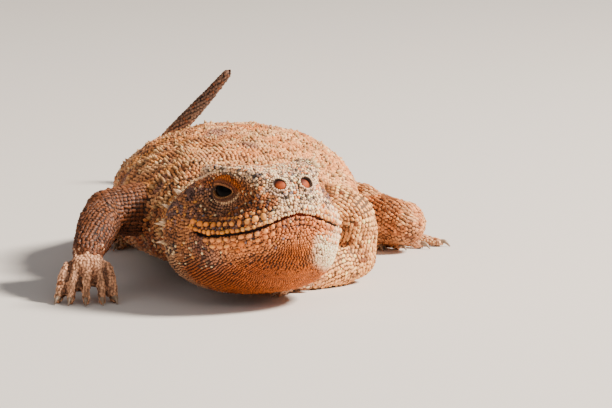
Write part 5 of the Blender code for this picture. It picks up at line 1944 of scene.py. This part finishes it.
def cover(draw):
    """All the fields of scales, special ones first, then small beads wherever a gap is left."""
    sow("lip_scales", lip_field(draw), PEBBLE, "head")
    sow("nostril_scales", nostril_field(draw), GRANULE, "head")
    face = {"keep": off_lids_and_lips, "most": 3.0, "last": 0.985}
    head = scale_field("head", 0.58, 0.34, draw, "body", jitter=0.13, fill=1.18, **face)
    sow("head_scales", head, GRANULE, "head")
    sow("head_beads", scale_field("head", 0.38, 0.3, draw, "body", clear=0.38, fill=1.15, **face), BEAD, "head")
    sow("head_gap_beads", gap_field(draw), BEAD, "head")
    neck = scale_field("neck", 0.8, 0.4, draw, "body", jitter=0.1, fill=1.04)
    torso = scale_field("torso", 0.8, 0.36, draw, "body", jitter=0.1, fill=1.04)
    trunk = neck.joined(torso)
    sow("trunk_scales", trunk, KEELED, "trunk")
    sow("trunk_spines", trunk_spines(trunk, draw), CONE, "trunk")
    beads = [scale_field(n, 0.5, 0.3, draw, "body", clear=0.6) for n in ("neck", "torso")]
    sow("trunk_beads", beads[0].joined(beads[1]), BEAD, "trunk")
    tail = scale_field("tail", 0.82, 0.3, draw, "tail", fill=1.04, first=0.02)
    sow("tail_scales", tail, KEELED, "tail")
    for side in ("right", "left"):
        parts = [(f"{part}_{side}", "limb") for part in ("upper_arm", "forearm", "thigh", "shank")]
        parts += [(f"{part}_{side}", "digit") for part in ("hand", "foot")]
        parts += [(f"{part}_{side}_{n}", "digit") for part in ("hand", "foot") for n in range(5)]
        scales, beads = [], []
        for name, kind in parts:
            spacing, height = (0.84, 0.34) if kind == "limb" else (0.7, 0.26)
            scales.append(scale_field(name, spacing, height, draw, kind, fill=1.1))
        for name, kind in parts:
            beads.append(scale_field(name, 0.46, 0.28, draw, kind, clear=0.55))
        sow(f"limb_scales_{side}", scales[0].joined(*scales[1:]), KEELED, "limb")
        sow(f"limb_beads_{side}", beads[0].joined(*beads[1:]), BEAD, "limb")


# Stage


LIGHTS = (
    # name, from where in metres, size, power, colour
    ("key", (0.85, -0.12, 0.75), 0.22, 44.0, (1.0, 0.93, 0.84)),
    ("fill", (-0.6, -0.7, 0.45), 0.6, 1.0, (0.95, 0.96, 1.0)),
    ("front", (0.3, -0.9, 0.5), 0.5, 1.4, (1.0, 0.95, 0.9)),
)
FLOOR_HALF = 2.5


def build_stage():
    floor = bpy.data.materials.new("floor")
    floor.use_nodes = True
    shader = floor.node_tree.nodes["Principled BSDF"]
    shader.inputs["Base Color"].default_value = (0.72, 0.66, 0.6, 1.0)
    shader.inputs["Roughness"].default_value = 0.9
    half = FLOOR_HALF
    corners = [(-half, -half, 0), (half, -half, 0), (half, half, 0), (-half, half, 0)]
    mesh_object("floor", corners, [(0, 1, 2, 3)], floor)
    world = bpy.data.worlds.new("studio")
    bpy.context.scene.world = world
    world.use_nodes = True
    sky = world.node_tree.nodes["Background"]
    sky.inputs["Color"].default_value = (0.9, 0.9, 0.93, 1.0)
    sky.inputs["Strength"].default_value = 0.3
    for name, at, size, power, colour in LIGHTS:
        lamp = bpy.data.lights.new(name, "AREA")
        lamp.size = size
        lamp.energy = power
        lamp.color = colour
        holder = bpy.data.objects.new(name, lamp)
        holder.location = at
        way = Vector((0.0, 0.0, 0.01)) - Vector(at)
        holder.rotation_euler = way.to_track_quat("-Z", "Y").to_euler()
        bpy.context.scene.collection.objects.link(holder)


def build_camera():
    camera = bpy.data.cameras.new("camera")
    camera.lens = CAMERA_LENS
    camera.sensor_width = 36.0
    camera.clip_start = 0.01
    camera.dof.use_dof = False
    holder = bpy.data.objects.new("camera", camera)
    tilt = math.radians(CAMERA_ELEVATION)
    look = Vector((0.0, math.cos(tilt), -math.sin(tilt)))
    target = Vector(to_world(CAMERA_TARGET))
    holder.location = target - look * CAMERA_DISTANCE * MM
    holder.rotation_euler = look.to_track_quat("-Z", "Y").to_euler()
    bpy.context.scene.collection.objects.link(holder)
    bpy.context.scene.camera = holder


draw = np.random.default_rng(SCALE_SEED)
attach(skin, "root")
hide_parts(*FLESH)
eye_glass = ramp_material("eyeball", (0.0003, 0.0003, 0.0003), (0.002, 0.0012, 0.001), 2200.0, 0.24)
eye_glass.node_tree.nodes["Principled BSDF"].inputs["Specular IOR Level"].default_value = 0.05
for side, word in ((1, "left"), (-1, "right")):
    build_eye(side, word, eye_glass)
    build_lids(side, word, draw)
    build_nostril(side, word)
cover(draw)
sow("head_spines", head_spines(draw), CONE, "head")
sow("toe_fringes", claws_and_fringes(), CONE, "limb")
build_stage()
build_camera()
